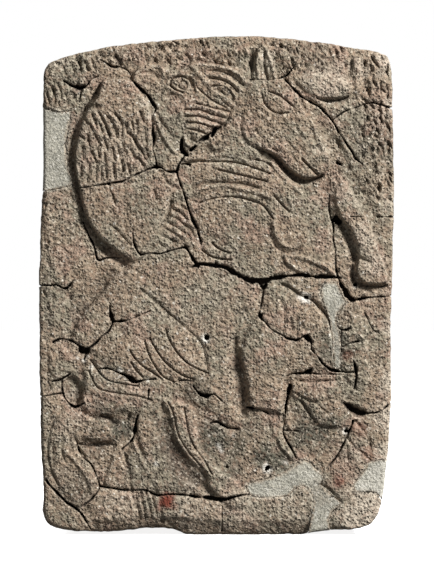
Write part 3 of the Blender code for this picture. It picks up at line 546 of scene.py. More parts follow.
HOLES = Cuts(14.0, 3.0, [
    [(215, 130, 2.6), (212, 136, 1.6)], [(207, 137, 1.8), (203, 139, 1.2)],
    [(182, 140, 1.2), (182, 150, 1.9), (187, 155, 1.2)], [(191, 150, 1.6), (195, 147, 1.2)],
    [(336, 219, 2.6), (340, 223, 1.4)], [(82, 350, 2.4), (87, 350, 2.6)],
    [(337, 163, 0.9), (340, 164, 1.2)],
    [(264, 288, 1.4), (266, 285, 1.4)], [(354, 157, 1.0), (355, 159, 0.8)],
    [(109, 184, 1.8), (110, 185, 1.2)],
    [(309, 371, 1.6), (311, 370, 1.2)], [(186, 164, 1.0), (190, 165, 0.7)],
    [(259, 316, 1.6), (261, 315, 1.2)],
])
# Chips broken out to the cracks' depth, by their outlines
CHIPS = [
    [(342, 402), (350, 404), (359, 409), (369, 413), (361, 416), (353, 414), (346, 408)],
    [(76, 86), (85, 86), (82, 90), (78, 90)], [(303, 337), (308, 334), (312, 343), (307, 341)],
    [(304, 371), (312, 368), (311, 374), (305, 374)],
]
DRILL_HOLES = [(207, 338, 1.9), (306, 297, 1.9), (268, 467, 1.9), (227, 467, 0.8), (355, 285, 1.3),
               (346, 431, 1.3)]
SPALL = [(62, 381), (63, 390), (66, 400), (71, 405), (78, 406), (84, 400), (84, 390), (80, 380), (75, 373),
         (67, 376)]

# The mortar fills' outlines; a point beyond the slab's own outline leaves the fill open to that side
MORTAR_FILLS = {
    "mortar_left_edge": [
        (28, 112), (62, 112), (71, 111), (68, 130), (66, 150), (68, 170), (72, 185), (28, 185),
    ],
    "mortar_lower_band": [
        (246, 485), (262, 480), (280, 474), (304, 460), (314, 467), (324, 477), (320, 484), (334, 497),
        (342, 503), (332, 511), (328, 520), (332, 550), (308, 550), (311, 518), (314, 503), (309, 490),
        (302, 485), (295, 488), (290, 495), (270, 497), (252, 496),
    ],
    "mortar_right_edge": [
        (368, 462), (378, 460), (404, 460), (404, 501), (383, 501), (376, 492), (355, 492), (353, 485),
        (364, 470),
    ],
    "mortar_flank": [
        (325, 283), (336, 283), (341, 293), (346, 303), (337, 313), (337, 326), (340, 334), (340, 368),
        (335, 369), (332, 345), (329, 318), (320, 294),
    ],
    "mortar_thigh": [(100, 370), (112, 370), (122, 375), (129, 380), (120, 382), (108, 379)],
}
FILL_STEP = 8.0
FILL_LEVELS = {"mortar_left_edge": 0.40, "mortar_lower_band": 0.40, "mortar_right_edge": 0.34,
               "mortar_flank": 0.62,
               "mortar_thigh": 0.66}

# Stained places, and places of painted shade and painted highlight: the mask's name, with a centre, a radius
# in grid steps and a strength for each
STAINS = {
    "pigment": [(167, 502, 9, 1.0), (174, 505, 6, 0.5), (340, 481, 6, 0.6), (346, 355, 6, 0.4),
                (316, 54, 24, 0.16), (368, 455, 9, 0.35),
                (360, 430, 8, 0.3), (344, 468, 20, 0.24), (150, 200, 12, 0.08)],
    "film": [(216, 436, 18, 1.0), (236, 446, 14, 0.8), (250, 430, 14, 0.5), (262, 456, 14, 1.0),
             (280, 462, 12, 1.0),
             (195, 392, 16, 0.7), (80, 490, 24, 0.5), (318, 432, 15, 1.0), (332, 422, 10, 0.9),
             (299, 440, 10, 0.9), (234, 472, 10, 0.5), (106, 350, 12, 0.2), (175, 120, 30, 0.15),
             (72, 392, 10, 0.4), (320, 350, 20, 0.3), (150, 160, 18, 0.2), (85, 75, 20, 0.2),
             (338, 312, 14, 0.5), (336, 345, 24, 0.9), (322, 508, 22, 0.6), (116, 376, 16, 0.4),
             (54, 150, 50, 0.4),
             (376, 150, 34, 0.35), (122, 428, 14, 1.0), (104, 418, 12, 0.6), (306, 432, 14, 1.0)],
    # Mostly painted shade: dark spots where shadow falls beside the legs, between the bodies, in holes and
    # along the bottom edge; a few broad ones are darker stone
    "shade_and_soil": [(118, 60, 5, 0.7), (79, 88, 5, 0.7), (178, 456, 15, 0.8), (166, 424, 8, 0.6),
             (194, 478, 13, 0.8),
             (167, 444, 12, 0.7), (160, 424, 8, 0.6), (184, 468, 15, 0.8), (182, 482, 11, 0.4),
             (238, 366, 8, 0.5), (240, 392, 8, 0.5), (96, 446, 13, 0.45),
             (106, 413, 9, 0.45), (150, 523, 16, 0.4), (180, 524, 16, 0.4), (128, 470, 8, 0.3),
             (190, 392, 12, 0.3),
             (300, 412, 9, 0.3), (100, 290, 12, 0.3), (82, 312, 12, 0.3), (356, 276, 8, 0.3),
             (168, 308, 9, 0.25), (125, 215, 26, 0.15), (240, 220, 44, 0.12),
             (80, 488, 14, 0.25), (376, 130, 30, 0.22)],
    "stony": [(112, 376, 22, 1.0), (330, 340, 10, 0.5), (322, 492, 14, 0.35)],
    "chalk": [(206, 339, 4.2, 1.0), (306, 298, 4.8, 1.0), (267, 468, 4.6, 1.0), (345, 431, 2.8, 0.8),
              (232, 435, 1.8, 1.0),
              (219, 446, 2.0, 0.9), (220, 451, 1.6, 0.9), (355, 286, 3.2, 0.6), (84, 360, 2.4, 0.75),
              (92, 367, 2.0, 0.6), (156, 463, 2.4, 0.6), (88, 356, 1.6, 0.6),
              (78, 358, 1.8, 0.7), (276, 262, 1.8, 0.9), (285, 463, 2.4, 0.7), (148, 380, 2.0, 0.7),
              (120, 370, 2.4, 0.6)],
    # Partly painted highlight: the right rim and ridges that face the light are made paler; elsewhere paler
    # stone
    "pale": [(388, 60, 14, 0.8), (392, 110, 12, 0.7), (392, 200, 12, 0.5), (370, 506, 26, 1.0),
             (352, 516, 18, 0.9), (73, 392, 7, 0.7),
             (390, 420, 16, 1.0), (388, 455, 14, 1.0), (391, 380, 14, 0.9), (391, 330, 10, 0.6),
             (380, 476, 16, 0.7), (366, 496, 26, 0.6),
             (344, 470, 12, 0.35), (330, 84, 22, 0.6), (362, 240, 16, 0.55), (374, 264, 14, 0.5),
             (190, 509, 26, 0.3), (244, 509, 26, 0.3),
             (290, 506, 20, 0.35), (122, 505, 22, 0.3), (120, 150, 34, 0.14), (70, 425, 16, 0.25),
             (66, 480, 18, 0.15), (347, 196, 12, 0.3), (352, 462, 18, 0.35),
             (265, 58, 10, 0.7), (358, 70, 12, 0.5), (145, 104, 6, 0.7), (150, 116, 5, 0.6),
             (196, 466, 6, 0.3), (322, 150, 10, 0.4), (60, 58, 16, 0.3), (200, 300, 40, 0.12)],
}


def linear(code):
    """An sRGB hex colour as linear red, green and blue with full alpha."""
    shares = [int(code[k:k + 2], 16) / 255 for k in (1, 3, 5)]
    return tuple(s / 12.92 if s <= 0.04045 else ((s + 0.055) / 1.055) ** 2.4 for s in shares) + (1.0,)


class ReliefSizes(bpy.types.PropertyGroup):
    """Sizes of the carving and its weathering"""
    rise: bpy.props.FloatProperty(
        name="Relief rise", description="How far the highest carving stands out from the deepest ground",
        default=0.015, min=0.002, unit="LENGTH", subtype="DISTANCE")
    arris: bpy.props.FloatProperty(
        name="Arris round", description="Radius of the slab's worn edges",
        default=0.005, min=0.001, unit="LENGTH", subtype="DISTANCE")
    edge_margin: bpy.props.FloatProperty(
        name="Edge margin", description="How far in from the outline the carving reaches its full height",
        default=0.006, min=0.001, unit="LENGTH", subtype="DISTANCE")
    mortar_depth: bpy.props.FloatProperty(
        name="Mortar depth", description="How deep the fills go behind the ground of the relief",
        default=0.045, min=0.005, unit="LENGTH", subtype="DISTANCE")
    mortar_gap: bpy.props.FloatProperty(
        name="Mortar gap", description="Clearance between a fill and the stone around it",
        default=0.0003, min=0.0001, unit="LENGTH", subtype="DISTANCE")
    pecking: bpy.props.FloatProperty(
        name="Pecking", description="Depth of the tool marks left all over the stone",
        default=0.0010, min=0.0, unit="LENGTH", subtype="DISTANCE")
    dressing: bpy.props.FloatProperty(
        name="Side dressing", description="Depth of the rough dressing on the sides and the back",
        default=0.0030, min=0.0, unit="LENGTH", subtype="DISTANCE")
    crack_share: bpy.props.FloatProperty(
        name="Crack on the sides",
        description="Depth of a crack on the sides and the back, as a share of the front's",
        default=0.45, min=0.0, max=1.0, subtype="FACTOR")


class ReliefColours(bpy.types.PropertyGroup):
    """Colours of the stone, the mortar and the stage"""
    brown: bpy.props.FloatVectorProperty(
        name="Warm basalt", description="Main colour of the weathered stone",
        default=linear("#9d8b76"), size=4, min=0, max=1, subtype="COLOR")
    grey: bpy.props.FloatVectorProperty(
        name="Grey basalt", description="Cooler grey-green areas of the stone",
        default=linear("#928976"), size=4, min=0, max=1, subtype="COLOR")
    pink: bpy.props.FloatVectorProperty(
        name="Pinkish basalt", description="Rosy areas of the stone",
        default=linear("#a48b79"), size=4, min=0, max=1, subtype="COLOR")
    # Also laid as painted shade in the moats and at the shade and soil spots
    dark: bpy.props.FloatVectorProperty(
        name="Dark grains", description="Pits and dark mineral grains",
        default=linear("#4a3f37"), size=4, min=0, max=1, subtype="COLOR")
    # Also laid over the pale spots, where it is partly a painted highlight
    light: bpy.props.FloatVectorProperty(
        name="Light grains", description="Pale mineral grains and worn edges",
        default=linear("#cec1ae"), size=4, min=0, max=1, subtype="COLOR")
    chalk: bpy.props.FloatVectorProperty(
        name="Fresh damage", description="White bruises and the rims of drilled holes",
        default=linear("#e6e1d6"), size=4, min=0, max=1, subtype="COLOR")
    # Painted shade: a near black laid into cracks, holes and hollow bends where shadow falls
    painted_shade: bpy.props.FloatVectorProperty(
        name="Painted crack shade", description="Painted shade deep in cracks, holes and hollow bends",
        default=linear("#1e1815"), size=4, min=0, max=1, subtype="COLOR")
    rust: bpy.props.FloatVectorProperty(
        name="Rusty grains", description="Reddish mineral grains strewn through the stone",
        default=linear("#8f6b57"), size=4, min=0, max=1, subtype="COLOR")
    red: bpy.props.FloatVectorProperty(
        name="Red pigment", description="Remains of red paint",
        default=linear("#743526"), size=4, min=0, max=1, subtype="COLOR")
    film: bpy.props.FloatVectorProperty(
        name="Green-grey film", description="Thin grey-green film in sheltered places",
        default=linear("#57564a"), size=4, min=0, max=1, subtype="COLOR")
    mortar: bpy.props.FloatVectorProperty(
        name="Lime mortar", description="Main colour of the fills",
        default=linear("#b9b5a6"), size=4, min=0, max=1, subtype="COLOR")
    sand: bpy.props.FloatVectorProperty(
        name="Mortar sand", description="Dark sand grains in the fills",
        default=linear("#88857a"), size=4, min=0, max=1, subtype="COLOR")
    stage: bpy.props.FloatVectorProperty(
        name="Stage", description="The pale floor",
        default=linear("#f7f7f7"), size=4, min=0, max=1, subtype="COLOR")


def smooth_line(points, step, closed=False):
    """A curve through the points, read off about every step; any further columns are smoothed with it."""
    points = np.array(points, float)
    ahead = np.roll(points, -1, 0)
    if closed:
        before, after = np.roll(points, 1, 0), np.roll(points, -2, 0)
        spans = len(points)
    else:
        before = np.vstack([points[:1], points[:-1]])
        after = np.vstack([points[2:], points[-1:], points[-1:]])
        spans = len(points) - 1
    line = []
    for k in range(spans):
        a, b, c, d = before[k], points[k], ahead[k], after[k]
        pieces = max(1, round(np.linalg.norm((c - b)[:2]) / step))
        for share in np.arange(pieces) / pieces:
            line.append(0.5 * (2 * b + (c - a) * share + (2 * a - 5 * b + 4 * c - d) * share ** 2
                               + (3 * b - a - 3 * c + d) * share ** 3))
    if not closed:
        line.append(points[-1])
    return np.array(line)


def ease(share):
    """A slope from 0 to 1 that starts and ends level."""
    share = np.clip(share, 0, 1)
    return share * share * (3 - 2 * share)


def measure(points, route, reach):
    """The points near a route, how far each is from it, and the route's half width there."""
    low, high = route[:, :2].min(0) - reach, route[:, :2].max(0) + reach
    close = np.flatnonzero(((points > low) & (points < high)).all(1))
    start, run = route[:-1], route[1:] - route[:-1]
    away = points[close, None, :] - start[None, :, :2]
    share = (away * run[:, :2]).sum(2) / np.maximum((run[:, :2] ** 2).sum(1), 1e-9)
    share = np.clip(share, 0, 1)
    distance = np.linalg.norm(away - share[..., None] * run[:, :2], axis=2)
    half = np.maximum(start[:, 2] + share * run[:, 2], 0.2)
    best = (distance / half).argmin(1) if len(close) else np.zeros(0, int)
    rows = np.arange(len(close))
    return close, distance[rows, best], half[rows, best]


def depth_inside(points, loop, reach):
    """Distance from a closed loop, counted positive inside it, for points within reach of it."""
    ring = np.column_stack([np.vstack([loop, loop[:1]]), np.ones(len(loop) + 1)])
    close, distance, _ = measure(points, ring, reach)
    x, y = points[close, :1], points[close, 1:]
    x0, y0 = loop[:, 0], loop[:, 1]
    x1, y1 = np.roll(x0, -1), np.roll(y0, -1)
    crossing = x0 + (y - y0) * (x1 - x0) / np.where(y1 == y0, 1, y1 - y0)
    inside = (((y0 > y) != (y1 > y)) & (x < crossing)).sum(1) % 2 == 1
    return close, np.where(inside, distance, -distance)


def routed(cuts):
    """Each route of some cuts as a smooth line of places and half widths."""
    return [smooth_line([(p[0], p[1], p[2] if len(p) > 2 else cuts.half_width) for p in route], FINE_STEP)
            for route in cuts.routes]


def pecked_cuts():
    """Every pecked area's tool marks, strewn at random but alike on each run."""
    draw = np.random.default_rng(PECK_SEED)
    made = []
    for pecks in PECKED.values():
        left, top, right, bottom = pecks.area
        routes = []
        for _ in range(pecks.count):
            x, y = draw.uniform(left, right), draw.uniform(top, bottom)
            turn = math.radians(draw.normal(pecks.turn, 30))
            half = pecks.length * draw.uniform(0.3, 0.7)
            dx, dy = half * math.cos(turn), half * math.sin(turn)
            middle = (x, y, pecks.half_width * draw.uniform(0.7, 1.3))
            routes.append([(x - dx, y - dy, PECK_END), middle, (x + dx, y + dy, PECK_END)])
        made.append(Cuts(pecks.depth, pecks.half_width, routes))
    return made


def lattice_noise(places, cell, seed):
    """Smooth noise from -1 to 1, with lumps about one cell across, at places in metres."""
    table = np.random.default_rng(seed).uniform(-1, 1, (NOISE_CELLS,) * 3)
    scaled = places / cell
    base = np.floor(scaled).astype(int)
    share = ease(scaled - base)
    total = np.zeros(len(places))
    for corner in np.ndindex(2, 2, 2):
        weight = np.prod(np.where(np.array(corner, bool), share, 1 - share), axis=1)
        index = (base + corner) % NOISE_CELLS
        total += weight * table[index[:, 0], index[:, 1], index[:, 2]]
    return total


SLAB_LOOP = smooth_line(SLAB_OUTLINE, OUTLINE_STEP, closed=True)
SLAB_LOOP[:, 1] = np.minimum(SLAB_LOOP[:, 1], FOOT_LINE)
GRID_LEFT, GRID_TOP = SLAB_LOOP.min(0)
GRID_RIGHT = SLAB_LOOP[:, 0].max()
GRID_MIDDLE = (GRID_LEFT + GRID_RIGHT) / 2
STEP_X = (CAD_HIGH.x - CAD_LOW.x) / (GRID_RIGHT - GRID_LEFT)
STEP_Z = (CAD_HIGH.z - CAD_LOW.z) / (FOOT_LINE - GRID_TOP)
BACK_FACE = CAD_HIGH.y


def ground_plane(sizes):
    """Where the deepest ground of the relief lies, along Y."""
    return CAD_LOW.y + sizes.rise


def to_metres(grid, depth):
    """Places on the drawing grid, at depths along Y, in metres."""
    return np.column_stack([(grid[:, 0] - GRID_MIDDLE) * STEP_X, depth, (FOOT_LINE - grid[:, 1]) * STEP_Z])


def to_grid(places):
    """Places in metres on the drawing grid."""
    return np.column_stack([places[:, 0] / STEP_X + GRID_MIDDLE, FOOT_LINE - places[:, 2] / STEP_Z])


def lumpy(places, lumps):
    """The sum of some lumps of noise at places in metres."""
    return sum(each.height * lattice_noise(places, each.cell, each.seed) for each in lumps)


def outline_sides():
    """The outline's top, right, bottom and left, and the directions out of the slab along them."""
    fine = smooth_line(SLAB_OUTLINE, 1.0, closed=True)
    fine[:, 1] = np.minimum(fine[:, 1], FOOT_LINE)
    run = np.roll(fine, -2, 0) - np.roll(fine, 2, 0)
    out = np.column_stack([run[:, 1], -run[:, 0]])
    out /= np.linalg.norm(out, axis=1)[:, None]
    both = np.column_stack([fine, out])
    corners = [int(np.linalg.norm(fine - corner, axis=1).argmin()) for corner in OUTLINE_CORNERS]
    sides = []
    for first, last in zip(corners, corners[1:] + corners[:1]):
        count = (last - first) % len(fine) + 1
        sides.append(both[(first + np.arange(count)) % len(fine)])
    return sides


def along(side, share):
    """Values on a side of the outline, at shares of its length."""
    length = np.concatenate([[0], np.cumsum(np.linalg.norm(np.diff(side[:, :2], axis=0), axis=1))])
    return np.column_stack([np.interp(share * length[-1], length, column) for column in side.T])


def patch(u, v):
    """Places and outward directions over the whole outline, at shares across and down."""
    top, right, bottom, left = outline_sides()
    upper, lower = along(top, u), along(bottom[::-1], u)
    near, far = along(left[::-1], v), along(right, v)
    u, v = u[:, None], v[:, None]
    corners = ((1 - u) * (1 - v) * top[0] + u * (1 - v) * top[-1]
               + (1 - u) * v * bottom[-1] + u * v * bottom[0])
    return (1 - v) * upper + v * lower + (1 - u) * near + u * far - corners


def slab_places(shares, sizes):
    """Where points of the unit block lie on the slab, in metres."""
    sheet = patch(shares[:, 0], shares[:, 1])
    front = np.clip(shares[:, 2] / ARRIS_SHARE, 0, 1) * math.pi / 2
    back = np.clip((1 - shares[:, 2]) / ARRIS_SHARE, 0, 1) * math.pi / 2
    straight = np.clip((shares[:, 2] - ARRIS_SHARE) / (1 - 2 * ARRIS_SHARE), 0, 1)
    drawn_in = sizes.arris * (2 - np.sin(front) - np.sin(back))
    low = ground_plane(sizes)
    side_length = BACK_FACE - low - 2 * sizes.arris
    depth = low + sizes.arris * (1 - np.cos(front) + np.cos(back)) + straight * side_length
    grid = sheet[:, :2] - sheet[:, 2:] * (drawn_in / STEP_X)[:, None]
    return to_metres(grid, depth)


def gap_to(points, lines):
    """Each point's distance to the nearest edge of some lines, below zero inside one, up to the reach."""
    gap = np.full(len(points), GAP_REACH)
    for line in lines:
        close, distance, half = measure(points, line, GAP_REACH + line[:, 2].max())
        gap[close] = np.minimum(gap[close], distance - half)
    return gap


def crack_lines():
    """Every crack and hole: its route, its depth in metres, and whether it goes through the slab."""
    lines = []
    for route in routed(CRACKS):
        length = np.linalg.norm(np.diff(route[:, :2], axis=0), axis=1).sum()
        to_side = route[:, 0].min() < GRID_LEFT + 4 or route[:, 0].max() > GRID_RIGHT - 4
        through = to_side or length > THROUGH_LENGTH
        lines.append((route * (1, 1, CRACK_WIDTH), CRACKS.depth * MM, through))
    lines += [(route, HOLES.depth * MM, False) for route in routed(HOLES)]
    for x, y, half in DRILL_HOLES:
        lines.append((np.array([(x - 0.4, y, half), (x + 0.4, y, half)]), HOLES.depth * MM, False))
    return lines


def carved_lines():
    """The routes of every carved line and ridge, with their depths in metres."""
    cuts = list(CARVED_LINES.values()) + [MANE_LOCKS] + pecked_cuts()
    return [(route, each.depth * MM) for each in cuts for route in routed(each)]


def carving_gap(points):
    """Each point's distance to the nearest carved line or slope of a form."""
    gap = gap_to(points, [route for route, _ in carved_lines()])
    for form in FORMS:
        close, inside = depth_inside(points, smooth_line(form.outline, FINE_STEP, closed=True), GAP_REACH)
        gap[close] = np.minimum(gap[close], np.maximum(-inside, inside - form.slope))
    return gap


def unit_block():
    """A closed block in the unit cube: a grid in front and behind, and rings of faces round its edge."""
    bm = bmesh.new()
    bmesh.ops.create_grid(bm, x_segments=COLUMNS, y_segments=ROWS, size=0.5)
    bmesh.ops.translate(bm, verts=bm.verts, vec=(0.5, 0.5, 0))
    grown = bmesh.ops.extrude_face_region(bm, geom=bm.faces[:])
    moved = [item for item in grown["geom"] if isinstance(item, bmesh.types.BMVert)]
    bmesh.ops.translate(bm, verts=moved, vec=(0, 0, 1))
    walls = [edge for edge in bm.edges if abs(edge.verts[0].co.z - edge.verts[1].co.z) > 0.5]
    bmesh.ops.subdivide_edges(bm, edges=walls, cuts=RINGS - 1, use_grid_fill=True)
    return bm


def split_faces(bm, wanted):
    """Splits the wanted faces in four and keeps the others joined to them."""
    for edge in bm.edges:
        edge.tag = False
    for face, split in zip(bm.faces, wanted):
        if split:
            for edge in face.edges:
                edge.tag = True
    edges = [edge for edge in bm.edges if edge.tag]
    bmesh.ops.subdivide_edges(bm, edges=edges, cuts=1, use_grid_fill=True, use_single_edge=True)


def slab_block(name, sizes, fine):
    """The uncarved slab, closed and with rounded arrises, split finer where carving or a crack will come."""
    bm = unit_block()
    cracks = [route for route, _, _ in crack_lines()]
    breaks = [route for route, _, through in crack_lines() if through]
    crisp = [route for line in CRISP_LINES for route in routed(CARVED_LINES[line])]
    for level in range(3 if fine else 2):
        centres = np.array([face.calc_center_median() for face in bm.faces])
        grid = to_grid(slab_places(centres, sizes))
        in_front = centres[:, 2] < ARRIS_SHARE
        gap = np.where(in_front, gap_to(grid, cracks), gap_to(grid, breaks))
        if level == 0:
            wanted = in_front | (gap < SPLIT_BREAK)
        elif level == 1:
            wanted = in_front & (carving_gap(grid) < SPLIT_CARVED) | (gap < SPLIT_CARVED)
        else:
            wanted = in_front & ((np.abs(gap) < SPLIT_CRACK) | (gap_to(grid, crisp) < SPLIT_CRISP))
        split_faces(bm, wanted)
    places = slab_places(np.array([vert.co for vert in bm.verts]), sizes)
    for vert, place in zip(bm.verts, places):
        vert.co = place
    bmesh.ops.triangulate(bm, faces=[face for face in bm.faces if len(face.verts) > 4])
    bm.normal_update()
    bmesh.ops.recalc_face_normals(bm, faces=bm.faces)
    mesh = bpy.data.meshes.new(name)
    bm.to_mesh(mesh)
    bm.free()
    return mesh


def prism(name, loop, front, back):
    """A straight block with the loop's outline, used only to cut with."""
    bm = bmesh.new()
    corners = to_metres(loop, np.full(len(loop), front))
    face = bm.faces.new([bm.verts.new(corner) for corner in corners])
    grown = bmesh.ops.extrude_face_region(bm, geom=[face])
    moved = [item for item in grown["geom"] if isinstance(item, bmesh.types.BMVert)]
    bmesh.ops.translate(bm, verts=moved, vec=(0, back - front, 0))
    bmesh.ops.recalc_face_normals(bm, faces=bm.faces)
    mesh = bpy.data.meshes.new(name)
    bm.to_mesh(mesh)
    bm.free()
    made = bpy.data.objects.new(name, mesh)
    bpy.context.scene.collection.objects.link(made)
    return made


def grown_loop(loop, distance):
    """A closed loop moved out by a distance in grid steps, or in where it is negative."""
    run = np.roll(loop, -1, 0) - np.roll(loop, 1, 0)
    run /= np.linalg.norm(run, axis=1)[:, None]
    turn = (loop[:, 0] * np.roll(loop[:, 1], -1) - np.roll(loop[:, 0], -1) * loop[:, 1]).sum()
    side = math.copysign(distance, turn)
    return loop + side * np.column_stack([run[:, 1], -run[:, 0]])


def fill_prism(name, sizes, clearance):
    """The block that a mortar fill takes up, with some clearance round it."""
    loop = grown_loop(smooth_line(MORTAR_FILLS[name], FILL_STEP, closed=True), clearance / STEP_X)
    back = ground_plane(sizes) + sizes.mortar_depth + clearance
    return prism(name + "_cutter", loop, CAD_LOW.y - sizes.rise, back)


def cut(mesh, operation, cutters):
    """The mesh after a Boolean with each cutter in turn; the cutters are used up."""
    worked = bpy.data.objects.new(mesh.name, mesh)
    bpy.context.scene.collection.objects.link(worked)
    for cutter in cutters:
        step = worked.modifiers.new(cutter.name, "BOOLEAN")
        step.operation = operation
        step.solver = "MANIFOLD"
        step.object = cutter
    evaluated = worked.evaluated_get(bpy.context.evaluated_depsgraph_get())
    result = bpy.data.meshes.new_from_object(evaluated)
    bm = bmesh.new()
    bm.from_mesh(result)
    bmesh.ops.triangulate(bm, faces=[face for face in bm.faces if len(face.verts) > 4])
    bm.to_mesh(result)
    bm.free()
    bpy.data.objects.remove(worked)
    for cutter in cutters:
        bpy.data.objects.remove(cutter)
    return result


def vertex_values(mesh):
    """The mesh's places and normals as arrays."""
    places = np.zeros(len(mesh.vertices) * 3)
    normals = np.zeros(len(mesh.vertices) * 3)
    mesh.vertices.foreach_get("co", places)
    mesh.vertex_normals.foreach_get("vector", normals)
    return places.reshape(-1, 3), normals.reshape(-1, 3)


def moat_depth(grid):
    """How far the deepened ground beside the forms is cut back at each place, in metres."""
    depth = np.zeros(len(grid))
    for cuts in MOATS.values():
        for route in routed(cuts):
            close, distance, half = measure(grid, route, MOAT_REACH)
            depth[close] = np.maximum(depth[close], cuts.depth * MM * ease(1.15 * (1 - distance / half)))
    return depth


def relief_height(grid, rise):
    """How far the carved face stands out from its deepest ground at each place, in metres, unweathered."""
    height = np.full(len(grid), GROUND_LEVEL * rise)

    def raise_form(form):
        close, inside = depth_inside(grid, smooth_line(form.outline, FINE_STEP, closed=True), 1.0)
        swell = form.swell * ease(inside / (SWELL_REACH * form.slope))
        top = rise * np.minimum(form.level + swell, 1)
        height[close] += (top - height[close]) * ease(inside / form.slope)

    for form in GROUND_FORMS:
        raise_form(form)
    for form in FORMS:
        raise_form(form)
    height -= moat_depth(grid)
    for route, depth in carved_lines():
        close, distance, half = measure(grid, route, LINE_REACH)
        height[close] -= depth * np.clip(1 - (distance / half) ** 2, 0, 1) ** 1.5
    close, inside = depth_inside(grid, np.array(SPALL, float), 1.0)
    height[close] -= SPALL_DEPTH * ease(inside / 3)
    return height


def crack_depth(grid, ragged, in_front):
    """How deep cracks and holes go at each place, in metres, with ragged edges; behind, only the breaks."""
    depth = np.zeros(len(grid))
    for route, deepest, through in crack_lines():
        close, distance, half = measure(grid, route, CRACK_REACH)
        half = half * (1 + CRACK_RAGGED * ragged[close])
        reached = deepest * np.minimum(half / CRACK_FULL, 1) * (in_front[close] | through)
        depth[close] = np.maximum(depth[close], reached * ease((half - distance) / WALL_STEPS + 0.5))
    for chip in CHIPS:
        close, inside = depth_inside(grid, np.array(chip, float), 1.0)
        depth[close] = np.maximum(depth[close], CRACKS.depth * MM * ease(inside / 2 + 0.4) * in_front[close])
    return depth


def edge_distance(grid):
    """How far inside the slab's outline each place lies, in metres."""
    close, inside = depth_inside(grid, SLAB_LOOP, 4.0)
    distance = np.zeros(len(grid))
    distance[close] = inside * STEP_X
    return distance


def weather(mesh, sizes, level=None):
    """Carves and wears a mesh cut from the block, and returns how deep cracks go at each vertex."""
    places, normals = vertex_values(mesh)
    low = ground_plane(sizes)
    below = places[:, 1] - low
    wander = CRACK_WANDER * ease(below / sizes.rise)
    grid = to_grid(places)
    strays = np.column_stack([lumpy(places, STRAY_ACROSS), lumpy(places, STRAY_DOWN)])
    strayed = grid + wander[:, None] * strays
    front = 1 - ease(below / FRONT_FADE)
    rim = edge_distance(grid)
    share = ease(rim / sizes.edge_margin)
    outer = (below < MM) | (rim < RIM_BAND) | (below > BACK_FACE - low - MM)
    if level is None:
        plain = GROUND_LEVEL * sizes.rise
        carved = relief_height(grid, sizes.rise)
        height = np.minimum(plain + (carved - plain) * share, carved)
        cracks = crack_depth(strayed, lumpy(places, RAGGED_LUMPS), below < sizes.arris) * outer
        cracks *= np.where(below < sizes.arris, 1, sizes.crack_share)
        rough = sizes.pecking * lumpy(places, PECKING_LUMPS) + lumpy(places, STONE_WAVES)
    else:
        height = np.full(len(grid), GROUND_LEVEL + (level - GROUND_LEVEL) * share) * sizes.rise
        cracks = np.zeros(len(grid))
        rough = lumpy(places, FILL_LUMPS)
    places[:, 1] -= height * front
    side = ease(below / SIDE_FADE)
    dressing = sizes.dressing * (DRESSING_MEAN + lumpy(places, DRESSING_LUMPS))
    places -= normals * (cracks + side * dressing * outer - rough * (1 - 0.5 * side) * outer)[:, None]
    np.clip(places, np.array(CAD_LOW), np.array(CAD_HIGH), out=places)
    mesh.vertices.foreach_set("co", places.ravel())
    mesh.update()
    return cracks


def bends(mesh):
    """How hollow each vertex lies among its neighbours, below zero on an edge that stands out."""
    places, normals = vertex_values(mesh)
    ends = np.zeros(len(mesh.edges) * 2, int)
    mesh.edges.foreach_get("vertices", ends)
    first, second = ends.reshape(-1, 2).T
    count = np.bincount(ends, minlength=len(places)).astype(float)
    lengths = np.linalg.norm(places[first] - places[second], axis=1)
    rise = ((places[second] - places[first]) * normals[first]).sum(1) / np.maximum(lengths, 1e-6)
    fall = ((places[first] - places[second]) * normals[second]).sum(1) / np.maximum(lengths, 1e-6)
    bend = np.bincount(first, rise, len(places)) + np.bincount(second, fall, len(places))
    bend /= np.maximum(count, 1)
    for _ in range(2):
        around = np.bincount(first, bend[second], len(places)) + np.bincount(second, bend[first], len(places))
        bend = 0.5 * bend + 0.5 * around / np.maximum(count, 1)
    return bend


def fill_edge(grid, start, width):
    """1 at the mortar fills' edges, falling to 0 over a width inside them, or outside if it is negative."""
    share = np.zeros(len(grid))
    for name in MORTAR_FILLS:
        close, inside = depth_inside(grid, smooth_line(MORTAR_FILLS[name], FILL_STEP, closed=True), 8.0)
        way = inside * math.copysign(1, width)
        fade = ease(1 - (way - start[close] + 1.5) / abs(width))
        share[close] = np.maximum(share[close], np.where(way > -0.6, fade, 0))
    return share


def set_mask(mesh, name, values):
    """Writes one mask, a share at each vertex, that a material reads by its name."""
    layer = mesh.attributes.new(name, "FLOAT", "POINT")
    layer.data.foreach_set("value", np.clip(values, 0, 1).astype(np.float32))


